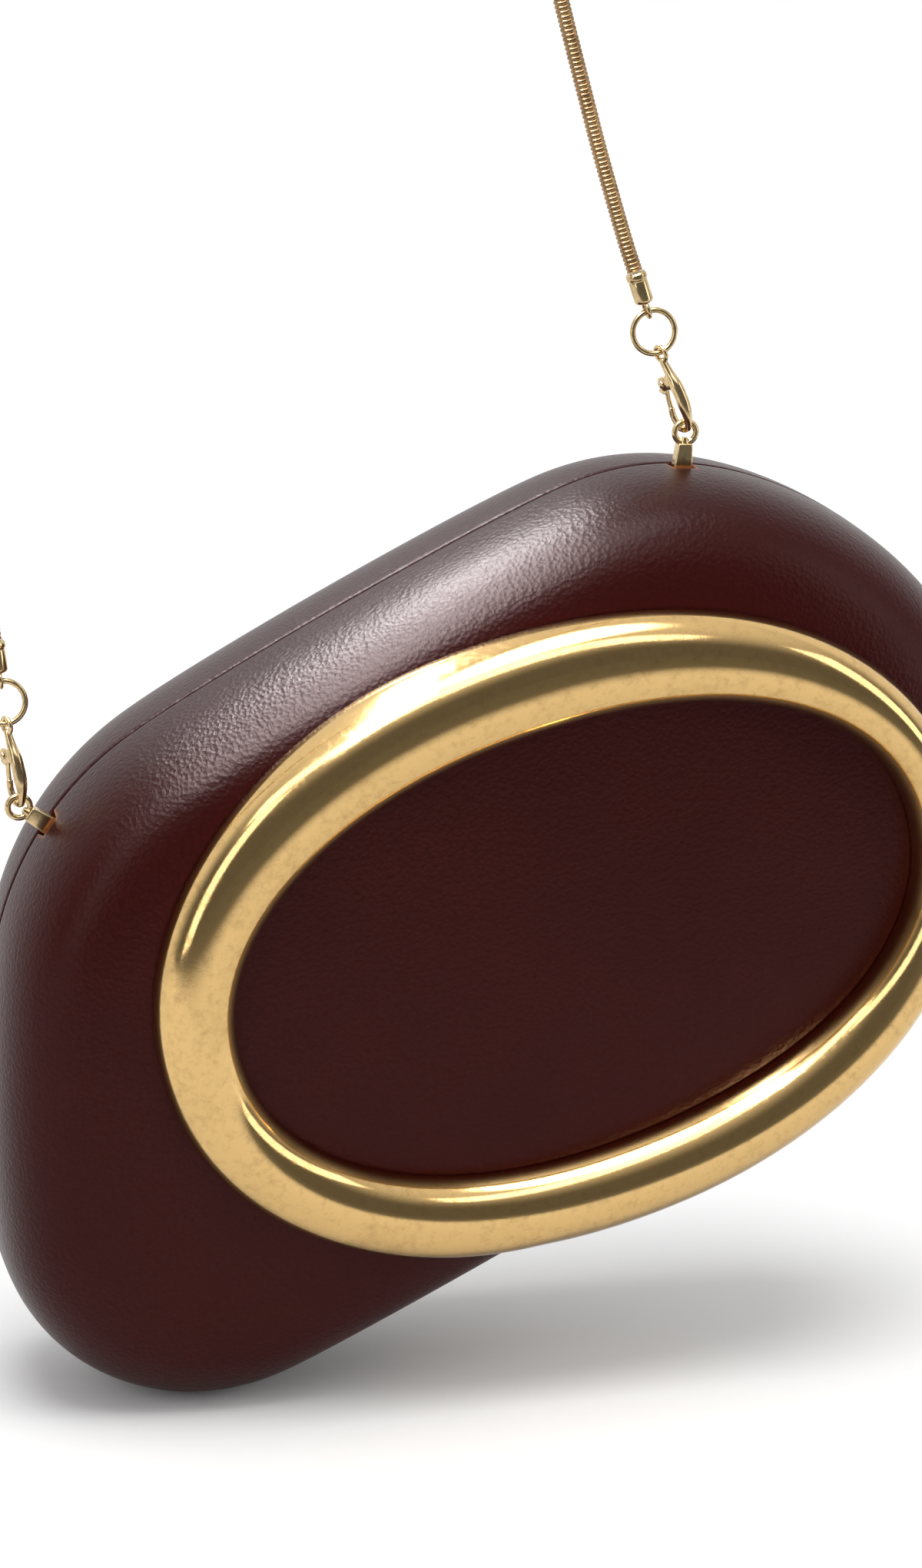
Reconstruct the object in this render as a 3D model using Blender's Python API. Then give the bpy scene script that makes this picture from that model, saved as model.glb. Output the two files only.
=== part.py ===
"""Hard-shell clutch bag: two leather-covered shells hinged at the bottom, an oval metal ring on the
front, and a short chain strap with spring clasps hooked into two eye posts.

Metres and degrees. The bag is drawn in its own frame: X along its length, Z up its height and Y
through its depth, with the seam between the shells at Y = 0 and the front at negative Y. Empties
hang that frame from the clasps, tilted and leaning as the bag hangs. The world's origin is the
middle of the chain at the top of the strap, where the bag is held.
"""

import math

import bmesh
import bpy
import numpy as np
from mathutils import Matrix, Vector

# how the bag hangs: the line through its two eyes, and its turn in and out of the strap's plane
EYE_LINE_X = 0.0166
EYE_LINE_DROP = 0.1736
HANG_TILT = 27.2
HANG_LEAN = 5.3

# seam outline: a soft hull round two shoulder circles, a heel circle and a toe circle
LEFT_SHOULDER_X = -0.0403
LEFT_SHOULDER_Z = 0.0113
LEFT_SHOULDER_RADIUS = 0.0619
RIGHT_SHOULDER_X = 0.0421
RIGHT_SHOULDER_Z = 0.0234
RIGHT_SHOULDER_RADIUS = 0.0504
BASE_LINE = -0.0537
HEEL_X = -0.0824
HEEL_RADIUS = 0.0375
TOE_X = 0.0436
TOE_RADIUS = 0.0596
OUTLINE_SOFTNESS = 0.0018

# dome of each shell
DOME_CENTRE_X = -0.0081
DOME_CENTRE_Z = 0.0102
SHELL_DEPTH = 0.0305
FACE_FLATNESS = 9.6
EDGE_FULLNESS = 2.56

# layers of each shell
GAP = 0.0003
LEATHER = 0.0012
CORE = 0.0025
LINING = 0.0008

# rim frames, with the closing lip and the magnets
FRAME_WIDTH = 0.006
FRAME_DEPTH = 0.0034
LIP_THICKNESS = 0.0008
LIP_REACH = 0.0016
LIP_HALF_WIDTH = 0.042
LIP_CLEARANCE = 0.0005
MAGNET_RADIUS = 0.0019
MAGNET_LENGTH = 0.002
MAGNET_ANGLE = 10.0
MAGNET_CLEARANCE = 0.0002

# oval ring on the front
RING_CENTRE_X = 0.0063
RING_CENTRE_Z = 0.0041
RING_HALF_LENGTH = 0.0748
RING_HALF_HEIGHT = 0.0521
RING_SQUARENESS = 2.10
RING_TURN = -10.6
RING_STANDS_OUT = 0.0080
RING_SKIRT = 0.0040
RING_WALL = 0.0016
RING_WIDTH_LEFT = 0.0152
RING_WIDTH_RIGHT = 0.0115
RING_WIDTH_TOP = 0.0190
RING_WIDTH_BOTTOM = 0.0171
RING_UNDERCUT = 8.0
STUD_RADIUS = 0.0013
STUD_HEADROOM = 0.0009
STUD_CLEARANCE = 0.0003
STUD_ANGLES = (54.0, 144.0, 186.0, 228.0)
STUD_NUT_RADIUS = 0.0030
STUD_NUT_HEIGHT = 0.0014
STUD_NUT_COVER = 0.0007

# eye posts
LEFT_POST_ANGLE = 28.05
RIGHT_POST_ANGLE = 31.52
POST_SET_BACK = 0.0020
EYE_RADIUS = 0.0021
EYE_WIRE_RADIUS = 0.0006
EYE_HEIGHT = 0.0064
STEM_WIDTH = 0.0038
STEM_TOP_WIDTH = 0.0028
STEM_DEPTH = 0.0026
NOTCH_CLEARANCE = 0.0004
TAIL_RADIUS = 0.0007
TAIL_CLEARANCE = 0.0002
POST_NUT_RADIUS = 0.0015
POST_NUT_HEIGHT = 0.0014

# bottom hinge
HINGE_X = -0.018
HINGE_PLATE = 0.0008
PIN_RADIUS = 0.0009
PIN_CLEARANCE = 0.0002
KNUCKLE_WALL = 0.0009
KNUCKLE_LENGTH = 0.014
KNUCKLE_COUNT = 5
SCREW_RADIUS = 0.0007
SCREW_LENGTH = 0.0018
SCREW_HEAD_RADIUS = 0.0014
SCREW_HEAD_HEIGHT = 0.00045
SCREW_CLEARANCE = 0.00025

# clasps, jump rings, end caps and chain
RIGHT_PULL = 18.5
LEFT_PULL = 6.5
CLASP_TWIST = 24.0
HOOK_WIRE_RADIUS = 0.00062
HOOK_BACK_RADIUS = 0.0012
HOOK_NECK_RADIUS = 0.0007
HOOK_SEAT_CLEARANCE = 0.0003
HOOK_HALF_WIDTH = 0.0021
HOOK_MOUTH_HEIGHT = 0.0026
HOOK_HEIGHT = 0.0123
TRIGGER_RADIUS = 0.0006
TRIGGER_THUMB = 0.0015
PIVOT_HEIGHT = 0.0080
PIVOT_SIDE = 0.0011
LUG_RADIUS = 0.0010
LUG_THICKNESS = 0.0008
CHEEK_RADIUS = 0.0014
CHEEK_GAP = 0.00015
CHEEK_THICKNESS = 0.0006
RIVET_RADIUS = 0.0004
RIVET_CLEARANCE = 0.0002
LINK_EYE_RADIUS = 0.00145
LINK_EYE_WIRE = 0.00045
LINK_CLEARANCE = 0.00012
JUMP_RADIUS = 0.0041
JUMP_WIRE_RADIUS = 0.00055
CAP_RADIUS = 0.0018
CAP_LENGTH = 0.0062
CHAIN_RADIUS = 0.00165
CHAIN_STEP = 0.0078

# the chain's route in the strap's plane, X and Z, from the right end cap to the left one
CHAIN_ROUTE = [
    (0.0649, -0.0900), (0.0617, -0.0784), (0.0585, -0.0666), (0.0553, -0.0547), (0.0518, -0.0428),
    (0.0483, -0.0312), (0.0421, -0.0208), (0.0337, -0.0120), (0.0235, -0.0054), (0.0121, -0.0013),
    (0.0000, 0.0000), (-0.0128, -0.0017), (-0.0247, -0.0066), (-0.0351, -0.0144), (-0.0432, -0.0245),
    (-0.0487, -0.0362), (-0.0513, -0.0489), (-0.0525, -0.0619), (-0.0533, -0.0748), (-0.0538, -0.0877),
    (-0.0541, -0.1007), (-0.0542, -0.1136), (-0.0541, -0.1265), (-0.0537, -0.1395), (-0.0530, -0.1524),
]

# tessellation
AROUND = 44
DOME_STEPS = 6
FACE_STEPS = (0.62, 0.3)
RING_AROUND = 56
RING_SECTION = 10
ROUND_SIDES = 12
WIRE_SIDES = 8

LEATHER_COLOUR = (0.042, 0.011, 0.009)
LINING_COLOUR = (0.10, 0.055, 0.04)
CORE_COLOUR = (0.02, 0.018, 0.018)
GOLD_COLOUR = (0.62, 0.43, 0.17)
STEEL_COLOUR = (0.55, 0.55, 0.56)


def clear_scene():
    for thing in list(bpy.data.objects):
        bpy.data.objects.remove(thing)


def material(name, colour, roughness, metallic):
    made = bpy.data.materials.new(name)
    made.use_nodes = True
    shader = made.node_tree.nodes["Principled BSDF"]
    shader.inputs["Base Color"].default_value = (*colour, 1.0)
    shader.inputs["Roughness"].default_value = roughness
    shader.inputs["Metallic"].default_value = metallic
    return made


def empty(name, parent=None, location=(0, 0, 0), rotation=None):
    made = bpy.data.objects.new(name, None)
    bpy.context.collection.objects.link(made)
    made.parent = parent
    made.location = location
    if rotation is not None:
        made.rotation_euler = rotation
    return made


def solid(name, vertices, faces, finish, parent, location=(0, 0, 0), smooth_angle=40.0):
    """One closed body with its faces turned outward, or several for a shape that only cuts."""
    mesh = bpy.data.meshes.new(name)
    mesh.from_pydata([tuple(map(float, v)) for v in vertices], [], faces)
    work = bmesh.new()
    work.from_mesh(mesh)
    bmesh.ops.recalc_face_normals(work, faces=work.faces)
    work.to_mesh(mesh)
    work.free()
    mesh.shade_smooth()
    mesh.set_sharp_from_angle(angle=math.radians(smooth_angle))
    made = bpy.data.objects.new(name, mesh)
    bpy.context.collection.objects.link(made)
    made.parent = parent
    made.location = location
    if finish is not None:
        mesh.materials.append(finish)
    return made


def guide(made):
    """Marks a shape that only cuts or joins another."""
    made.hide_render = True
    made.display_type = "WIRE"
    return made


def combine(target, other, operation):
    step = target.modifiers.new(operation.lower(), "BOOLEAN")
    step.operation = operation
    step.solver = "EXACT"
    step.object = guide(other)


def solids(name, shapes, finish, carrier):
    """Like pieces, numbered from 1, each its own body."""
    for number, shape in enumerate(shapes, 1):
        solid(f"{name}_{number}", *shape, finish, *carrier)


def merged(shapes):
    """Joins several vertex and face lists into one."""
    vertices = []
    faces = []
    for points, loops in shapes:
        start = len(vertices)
        vertices.extend(points)
        faces.extend([tuple(start + i for i in loop) for loop in loops])
    return vertices, faces


def outline(turns, inset=0.0):
    """Points of the seam outline, and the outward direction there, for directions turned by turns.

    The outline is the soft hull of the four circles, given by its support function, so that an inset
    moves each point straight in along its own normal.
    """
    centres = np.array([
        (RIGHT_SHOULDER_X, RIGHT_SHOULDER_Z),
        (LEFT_SHOULDER_X, LEFT_SHOULDER_Z),
        (TOE_X, BASE_LINE + TOE_RADIUS),
        (HEEL_X, BASE_LINE + HEEL_RADIUS),
    ])
    radii = np.array([RIGHT_SHOULDER_RADIUS, LEFT_SHOULDER_RADIUS, TOE_RADIUS, HEEL_RADIUS])
    normal = np.stack([np.cos(turns), np.sin(turns)], axis=-1)
    tangent = np.stack([-np.sin(turns), np.cos(turns)], axis=-1)
    reach = (normal @ centres.T + radii) / OUTLINE_SOFTNESS
    top = reach.max(axis=1, keepdims=True)
    share = np.exp(reach - top)
    support = OUTLINE_SOFTNESS * (np.log(share.sum(axis=1)) + top[:, 0])
    share /= share.sum(axis=1, keepdims=True)
    slide = (share * (tangent @ centres.T)).sum(axis=1)
    points = (support - inset)[:, None] * normal + slide[:, None] * tangent
    return points, normal


def spread_turns(count):
    """Directions that share out both the outline's length and its turning evenly."""
    fine = np.linspace(-math.pi, math.pi, 2881)
    points, _ = outline(fine)
    run = np.concatenate([[0.0], np.cumsum(np.linalg.norm(np.diff(points, axis=0), axis=1))])
    measure = 0.5 * run / run[-1] + 0.5 * (fine - fine[0]) / (2 * math.pi)
    return np.interp(np.arange(count) / count, measure, fine)


def dome_depth(share):
    return SHELL_DEPTH * (1 - share ** FACE_FLATNESS) ** (1 / EDGE_FULLNESS)


def dome_share(depth):
    return (1 - (depth / SHELL_DEPTH) ** EDGE_FULLNESS) ** (1 / FACE_FLATNESS)


def dome_depth_at(x, z):
    """Depth of the dome over a point of the face, found along the ray from the dome's centre."""
    turns = np.linspace(-math.pi, math.pi, 1441)
    points, _ = outline(turns)
    arms = points - (DOME_CENTRE_X, DOME_CENTRE_Z)
    angles = np.unwrap(np.arctan2(arms[:, 1], arms[:, 0]))
    reach = np.linalg.norm(arms, axis=1)
    x = np.asarray(x, float) - DOME_CENTRE_X
    z = np.asarray(z, float) - DOME_CENTRE_Z
    limit = np.interp(np.arctan2(z, x), angles, reach, period=2 * math.pi)
    share = np.clip(np.hypot(x, z) / limit, 0.0, 0.9999)
    return dome_depth(share)


def dome_rows(turns, rim_depth, inset):
    """Rows of points from the rim to the middle of a shell surface, moved in along its normals."""
    points, normal = outline(turns)
    arms = points - (DOME_CENTRE_X, DOME_CENTRE_Z)
    first = math.asin(min(rim_depth / SHELL_DEPTH, 1.0))
    depths = SHELL_DEPTH * np.sin(np.linspace(first, math.radians(72), DOME_STEPS + 1))
    shares = list(dome_share(depths))
    last = shares[-1]
    shares += [last * step for step in FACE_STEPS] + [0.0]
    rows = []
    for share in shares:
        power = share ** FACE_FLATNESS
        slope = 0.0
        if share > 0:
            slope = (
                SHELL_DEPTH * FACE_FLATNESS / EDGE_FULLNESS
                * share ** (FACE_FLATNESS - 1) * (1 - power) ** (1 / EDGE_FULLNESS - 1)
            )
        lean = (arms * normal).sum(axis=1)
        out = np.column_stack([slope * normal[:, 0], slope * normal[:, 1], lean])
        out /= np.linalg.norm(out, axis=1)[:, None]
        flat = np.array([DOME_CENTRE_X, DOME_CENTRE_Z]) + share * arms
        place = np.column_stack([flat, np.full(len(flat), dome_depth(share))])
        rows.append(place - inset * out)
    return rows


def dome_layer(side, rim_depth, outer_inset, thickness):
    """Closed skin between two insets of the dome; side is -1 at the front and 1 at the back."""
    turns = spread_turns(AROUND)
    vertices = []
    faces = []
    starts = []
    for inset in (outer_inset, outer_inset + thickness):
        rows = dome_rows(turns, rim_depth, inset)
        starts.append(len(vertices))
        for row in rows[:-1]:
            vertices.extend([(x, side * depth, z) for x, z, depth in row])
        x, z, depth = rows[-1][0]
        vertices.append((x, side * depth, z))
        count = len(rows) - 1
        for i in range(count - 1):
            for j in range(AROUND):
                a = starts[-1] + i * AROUND + j
                b = starts[-1] + i * AROUND + (j + 1) % AROUND
                faces.append((a, b, b + AROUND, a + AROUND))
        pole = starts[-1] + count * AROUND
        for j in range(AROUND):
            a = starts[-1] + (count - 1) * AROUND + j
            b = starts[-1] + (count - 1) * AROUND + (j + 1) % AROUND
            faces.append((a, b, pole))
    for j in range(AROUND):
        k = (j + 1) % AROUND
        faces.append((starts[0] + j, starts[0] + k, starts[1] + k, starts[1] + j))
    return vertices, faces


def band(turns, near, far, from_depth, to_depth, closed=True):
    """Flat-faced band that follows the outline between two insets and two values of Y."""
    inner, _ = outline(turns, far)
    outer, _ = outline(turns, near)
    corners = ((outer, from_depth), (inner, from_depth), (inner, to_depth), (outer, to_depth))
    vertices = []
    for j in range(len(turns)):
        vertices.extend([(points[j][0], y, points[j][1]) for points, y in corners])
    faces = []
    count = len(turns) if closed else len(turns) - 1
    for j in range(count):
        k = (j + 1) % len(turns)
        for c in range(4):
            d = (c + 1) % 4
            faces.append((4 * j + c, 4 * j + d, 4 * k + d, 4 * k + c))
    if not closed:
        last = 4 * (len(turns) - 1)
        faces += [(0, 1, 2, 3), (last, last + 1, last + 2, last + 3)]
    return vertices, faces


def box(low, high):
    sides = [(low[k], high[k]) for k in range(3)]
    vertices = [(x, y, z) for x in sides[0] for y in sides[1] for z in sides[2]]
    faces = [(0, 1, 3, 2), (4, 6, 7, 5), (0, 4, 5, 1), (2, 3, 7, 6), (0, 2, 6, 4), (1, 5, 7, 3)]
    return vertices, faces


def rod(start, end, radius, sides=ROUND_SIDES):
    """Straight cylinder between two points."""
    return tube([start, end], [radius, radius], sides)


def tube(points, radii, sides=WIRE_SIDES, closed=False, flatten=1.0, flat_axis=None):
    """Round bar along a route. Its sections may be flattened along flat_axis."""
    route = [Vector(p) for p in points]
    count = len(route)
    tangents = []
    for i in range(count):
        before = route[(i - 1) % count] if closed else route[max(i - 1, 0)]
        after = route[(i + 1) % count] if closed else route[min(i + 1, count - 1)]
        tangents.append((after - before).normalized())
    across = flat_axis
    if across is None:
        steepest = min(range(3), key=lambda k: max(abs(t[k]) for t in tangents))
        across = Vector([1.0 if k == steepest else 0.0 for k in range(3)])
    vertices = []
    for place, along, radius in zip(route, tangents, radii, strict=True):
        side = (across - along * across.dot(along)).normalized()
        up = along.cross(side)
        for s in range(sides):
            angle = 2 * math.pi * s / sides
            across = side * (radius * flatten * math.cos(angle))
            vertices.append(place + across + up * (radius * math.sin(angle)))
    faces = []
    for i in range(count if closed else count - 1):
        for s in range(sides):
            a = i * sides + s
            b = i * sides + (s + 1) % sides
            c = ((i + 1) % count) * sides
            faces.append((a, b, c + (s + 1) % sides, c + s))
    if not closed:
        faces.append(tuple(range(sides)))
        faces.append(tuple(range((count - 1) * sides, count * sides)))
    return vertices, faces


def loop_wire(centre, radius, wire, first_axis, second_axis, steps=20, sides=WIRE_SIDES):
    """Closed round wire ring in the plane of two directions."""
    centre = Vector(centre)
    first = Vector(first_axis)
    second = Vector(second_axis)
    points = []
    for i in range(steps):
        angle = 2 * math.pi * i / steps
        points.append(centre + first * (radius * math.cos(angle)) + second * (radius * math.sin(angle)))
    return tube(points, [wire] * steps, sides, closed=True, flat_axis=first.cross(second))


def collar(start, end, hole, outside, corners=None, sides=ROUND_SIDES):
    """Short sleeve with a bore; outside is its radius, or its corner radius when it has corners."""
    start = Vector(start)
    along = (Vector(end) - start).normalized()
    side = along.orthogonal().normalized()
    up = along.cross(side)
    vertices = []
    for place in (start, Vector(end)):
        for kind in ("hole", "outside"):
            for s in range(sides):
                angle = 2 * math.pi * s / sides
                reach = hole
                if kind == "outside":
                    reach = outside
                    if corners:
                        part = math.pi / corners
                        reach = outside * math.cos(part) / math.cos((angle % (2 * part)) - part)
                across = side * (reach * math.cos(angle))
                vertices.append(place + across + up * (reach * math.sin(angle)))
    faces = []
    for s in range(sides):
        t = (s + 1) % sides
        faces.append((s, t, sides + t, sides + s))
        faces.append((2 * sides + s, 2 * sides + t, 3 * sides + t, 3 * sides + s))
        faces.append((s, t, 2 * sides + t, 2 * sides + s))
        faces.append((sides + s, sides + t, 3 * sides + t, 3 * sides + s))
    return vertices, faces


def turned(profile, start, along, sides=ROUND_SIDES):
    """Solid of revolution; profile gives distances along the axis and radii, without its two ends."""
    start = Vector(start)
    along = Vector(along).normalized()
    side = along.orthogonal().normalized()
    up = along.cross(side)
    vertices = []
    for height, radius in profile:
        for s in range(sides):
            angle = 2 * math.pi * s / sides
            across = side * (radius * math.cos(angle))
            vertices.append(start + along * height + across + up * (radius * math.sin(angle)))
    faces = []
    for i in range(len(profile) - 1):
        for s in range(sides):
            t = (s + 1) % sides
            faces.append((i * sides + s, i * sides + t, (i + 1) * sides + t, (i + 1) * sides + s))
    faces.append(tuple(range(sides)))
    faces.append(tuple(range((len(profile) - 1) * sides, len(profile) * sides)))
    return vertices, faces


def eye_place(side):
    """Centre of an eye post's eye in the bag's frame, and the direction its stem stands in."""
    angle = RIGHT_POST_ANGLE if side > 0 else LEFT_POST_ANGLE
    turn = math.radians(90 - side * angle)
    points, normal = outline(np.array([turn]))
    out = Vector((normal[0][0], 0, normal[0][1]))
    base = Vector((points[0][0], -POST_SET_BACK, points[0][1]))
    return base, out, base + out * EYE_HEIGHT


def eye_contact(side, pull):
    """Middle of the eye wire where the hook pulls on it, in the bag's frame."""
    aside = math.radians(HANG_TILT - pull)
    _, _, centre = eye_place(side)
    return centre + Vector((math.sin(aside), 0, math.cos(aside))) * EYE_RADIUS


def swing_height():
    """Height of the line that the bag swings about, halfway between the two contacts."""
    return (eye_contact(1, RIGHT_PULL).z + eye_contact(-1, LEFT_PULL).z) / 2


def frame_inset():
    return LEATHER + GAP


def hinge_height():
    """Height of the hinge pin, below the lowest point of the leather by the barrel's radius."""
    lowest, _ = outline(np.array([-math.pi / 2]))
    return lowest[0][1] - GAP - barrel_radius()


def barrel_radius():
    return PIN_RADIUS + PIN_CLEARANCE + KNUCKLE_WALL


def hinge_length():
    return KNUCKLE_COUNT * KNUCKLE_LENGTH


def plate_top():
    """Height of the upper edge of the hinge plates, level with the frames' inner edge."""
    inner, _ = outline(np.array([-math.pi / 2]), frame_inset() + FRAME_WIDTH)
    return inner[0][1]


def plate_face():
    """Distance of each hinge plate's outer face from the seam plane."""
    return GAP + HINGE_PLATE


def screw_places():
    reach = hinge_length() / 2 - KNUCKLE_LENGTH / 2
    height = plate_top() - FRAME_WIDTH / 2
    return [(HINGE_X + k * reach, height) for k in (-1, 0, 1)]


def ring_centreline(angles):
    """Points of the ring's centreline over the face, with the outward direction at each."""
    cosine = np.cos(angles)
    sine = np.sin(angles)
    power = 2 / RING_SQUARENESS
    x = RING_HALF_LENGTH * np.sign(cosine) * np.abs(cosine) ** power
    z = RING_HALF_HEIGHT * np.sign(sine) * np.abs(sine) ** power
    nx = np.sign(cosine) * np.abs(cosine) ** (2 - power) / RING_HALF_LENGTH
    nz = np.sign(sine) * np.abs(sine) ** (2 - power) / RING_HALF_HEIGHT
    size = np.hypot(nx, nz)
    turn = math.radians(RING_TURN)
    spin = np.array([[math.cos(turn), -math.sin(turn)], [math.sin(turn), math.cos(turn)]])
    points = np.column_stack([x, z]) @ spin.T + (RING_CENTRE_X, RING_CENTRE_Z)
    normal = np.column_stack([nx / size, nz / size]) @ spin.T
    return points, normal


def ring_half_width(angles):
    side = np.where(np.cos(angles) > 0, RING_WIDTH_RIGHT, RING_WIDTH_LEFT) / 2
    end = np.where(np.sin(angles) > 0, RING_WIDTH_TOP, RING_WIDTH_BOTTOM) / 2
    return side * np.cos(angles) ** 2 + end * np.sin(angles) ** 2


def ring_crest():
    return SHELL_DEPTH + RING_STANDS_OUT


def ring_foot(points):
    """Depth of the ring's feet: on the leather, but no further back than its skirt reaches."""
    on_leather = dome_depth_at(points[:, 0], points[:, 1]) + GAP
    return np.maximum(on_leather, SHELL_DEPTH - RING_SKIRT)


def ring_surface(angles, wall):
    """Rows of points over the ring's tube, which is cut open along its back where it meets the face."""
    points, normal = ring_centreline(angles)
    half = ring_half_width(angles) - wall
    under = math.radians(RING_UNDERCUT)
    rows = []
    for a in np.linspace(-under, math.pi + under, RING_SECTION + 1):
        rise = (math.sin(a) + math.sin(under)) / (1 + math.sin(under))
        place = points + normal * (half * math.cos(a))[:, None]
        foot = ring_foot(place)
        depth = foot + (ring_crest() - wall - foot) * rise
        rows.append(np.column_stack([place[:, 0], -depth, place[:, 1]]))
    return rows


def oval_ring():
    angles = np.linspace(0, 2 * math.pi, RING_AROUND, endpoint=False)
    loop = ring_surface(angles, 0.0) + ring_surface(angles, RING_WALL)[::-1]
    vertices = [point for row in loop for point in row]
    faces = []
    for i in range(len(loop)):
        k = (i + 1) % len(loop)
        here = i * RING_AROUND
        there = k * RING_AROUND
        for j in range(RING_AROUND):
            m = (j + 1) % RING_AROUND
            faces.append((here + j, here + m, there + m, there + j))
    return vertices, faces


def stud_places():
    """Centres of the ring's studs and the depth of the leather's face there."""
    points, _ = ring_centreline(np.radians(STUD_ANGLES))
    depths = dome_depth_at(points[:, 0], points[:, 1])
    return [(x, z, depth) for (x, z), depth in zip(points, depths, strict=True)]


def build_shell(side, carrier, finishes):
    """Leather, stiff core, lining, rim frame and magnets of the front (-1) or back (1) shell."""
    word = "front" if side < 0 else "back"
    name = word + "_leather"
    leather = solid(name, *dome_layer(side, GAP, 0.0, LEATHER), finishes["leather"], *carrier)
    inner_rim = GAP + FRAME_DEPTH + 2 * GAP
    inset = LEATHER + GAP
    core = solid(word + "_core", *dome_layer(side, inner_rim, inset, CORE), finishes["core"], *carrier)
    inset += CORE + GAP
    solid(word + "_lining", *dome_layer(side, inner_rim, inset, LINING), finishes["lining"], *carrier)
    turns = spread_turns(AROUND)
    far = frame_inset() + FRAME_WIDTH
    rim = band(turns, frame_inset(), far, side * GAP, side * (GAP + FRAME_DEPTH))
    frame = solid(word + "_frame", *rim, finishes["gold"], *carrier)

    low = plate_top() - 2 * FRAME_WIDTH - 2 * barrel_radius()
    high = plate_top() + 2 * GAP
    reach = hinge_length() / 2 + GAP
    depth = plate_face() + GAP
    slot = box((HINGE_X - reach, -depth, low), (HINGE_X + reach, depth, high))
    combine(leather, solid(word + "_hinge_slot", *slot, None, *carrier), "DIFFERENCE")

    pockets = []
    magnets = []
    magnet_turns = np.radians([90 - MAGNET_ANGLE, 90 + MAGNET_ANGLE])
    centres, _ = outline(magnet_turns, frame_inset() + FRAME_WIDTH / 2)
    for x, z in centres:
        mouth = Vector((x, 0, z))
        floor = Vector((x, side * (2 * GAP + MAGNET_LENGTH + MAGNET_CLEARANCE), z))
        pockets.append(rod(mouth, floor, MAGNET_RADIUS + MAGNET_CLEARANCE))
        near = Vector((x, side * 2 * GAP, z))
        far = Vector((x, side * (2 * GAP + MAGNET_LENGTH), z))
        magnets.append(rod(near, far, MAGNET_RADIUS))
    solids(word + "_magnet", magnets, finishes["steel"], carrier)
    cuts = [slot] + pockets
    for x, z in screw_places():
        start = Vector((x, side * plate_face() / 2, z))
        end = Vector((x, side * (plate_face() + SCREW_LENGTH), z))
        cuts.append(rod(start, end, SCREW_RADIUS + SCREW_CLEARANCE))
    if side < 0:
        for hand in (-1, 1):
            base, out, _ = eye_place(hand)
            start = base - out * (frame_inset() - GAP)
            end = base - out * (frame_inset() + FRAME_WIDTH + GAP)
            cuts.append(rod(start, end, TAIL_RADIUS + TAIL_CLEARANCE))
    for number, cut in enumerate(cuts):
        combine(frame, solid(f"{word}_frame_cut_{number}", *cut, None, *carrier), "DIFFERENCE")
    return leather, core


def build_leaf(side, carrier, finishes):
    """One hinge leaf: a plate under the frame with its share of the knuckles."""
    word = "front" if side < 0 else "back"
    pin = hinge_height()
    clear = pin + barrel_radius() + GAP
    reach = hinge_length() / 2
    sheet = sorted((side * GAP, side * plate_face()))
    plate = box((HINGE_X - reach, sheet[0], clear), (HINGE_X + reach, sheet[1], plate_top()))
    leaf = solid("hinge_leaf_" + word, *plate, finishes["gold"], *carrier)
    tabs = []
    barrels = []
    for index in range(0 if side < 0 else 1, KNUCKLE_COUNT, 2):
        start = HINGE_X - reach + index * KNUCKLE_LENGTH + GAP / 2
        end = start + KNUCKLE_LENGTH - GAP
        foot = pin + PIN_RADIUS + PIN_CLEARANCE + GAP / 2
        tabs.append(box((start, sheet[0], foot), (end, sheet[1], clear + GAP)))
        hole = PIN_RADIUS + PIN_CLEARANCE
        barrels.append(collar((start, 0, pin), (end, 0, pin), hole, barrel_radius()))
    combine(leaf, solid(word + "_tabs", *merged(tabs), None, *carrier), "UNION")
    combine(leaf, solid(word + "_barrels", *merged(barrels), None, *carrier), "UNION")
    bores = []
    screws = []
    for x, z in screw_places():
        head = GAP + GAP / 6
        under = head + SCREW_HEAD_HEIGHT
        profile = [
            (head, SCREW_HEAD_RADIUS), (under, SCREW_HEAD_RADIUS),
            (under, SCREW_RADIUS), (under + SCREW_LENGTH, SCREW_RADIUS),
        ]
        screws.append(turned(profile, (x, 0, z), (0, side, 0)))
        wide = SCREW_HEAD_RADIUS + SCREW_CLEARANCE
        narrow = SCREW_RADIUS + SCREW_CLEARANCE
        seat = under + GAP / 3
        profile = [(0.0, wide), (seat, wide), (seat, narrow), (2 * plate_face(), narrow)]
        bores.append(turned(profile, (x, 0, z), (0, side, 0)))
    combine(leaf, solid(word + "_leaf_bores", *merged(bores), None, *carrier), "DIFFERENCE")
    solids(f"hinge_screw_{word}", screws, finishes["gold"], carrier)


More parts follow.
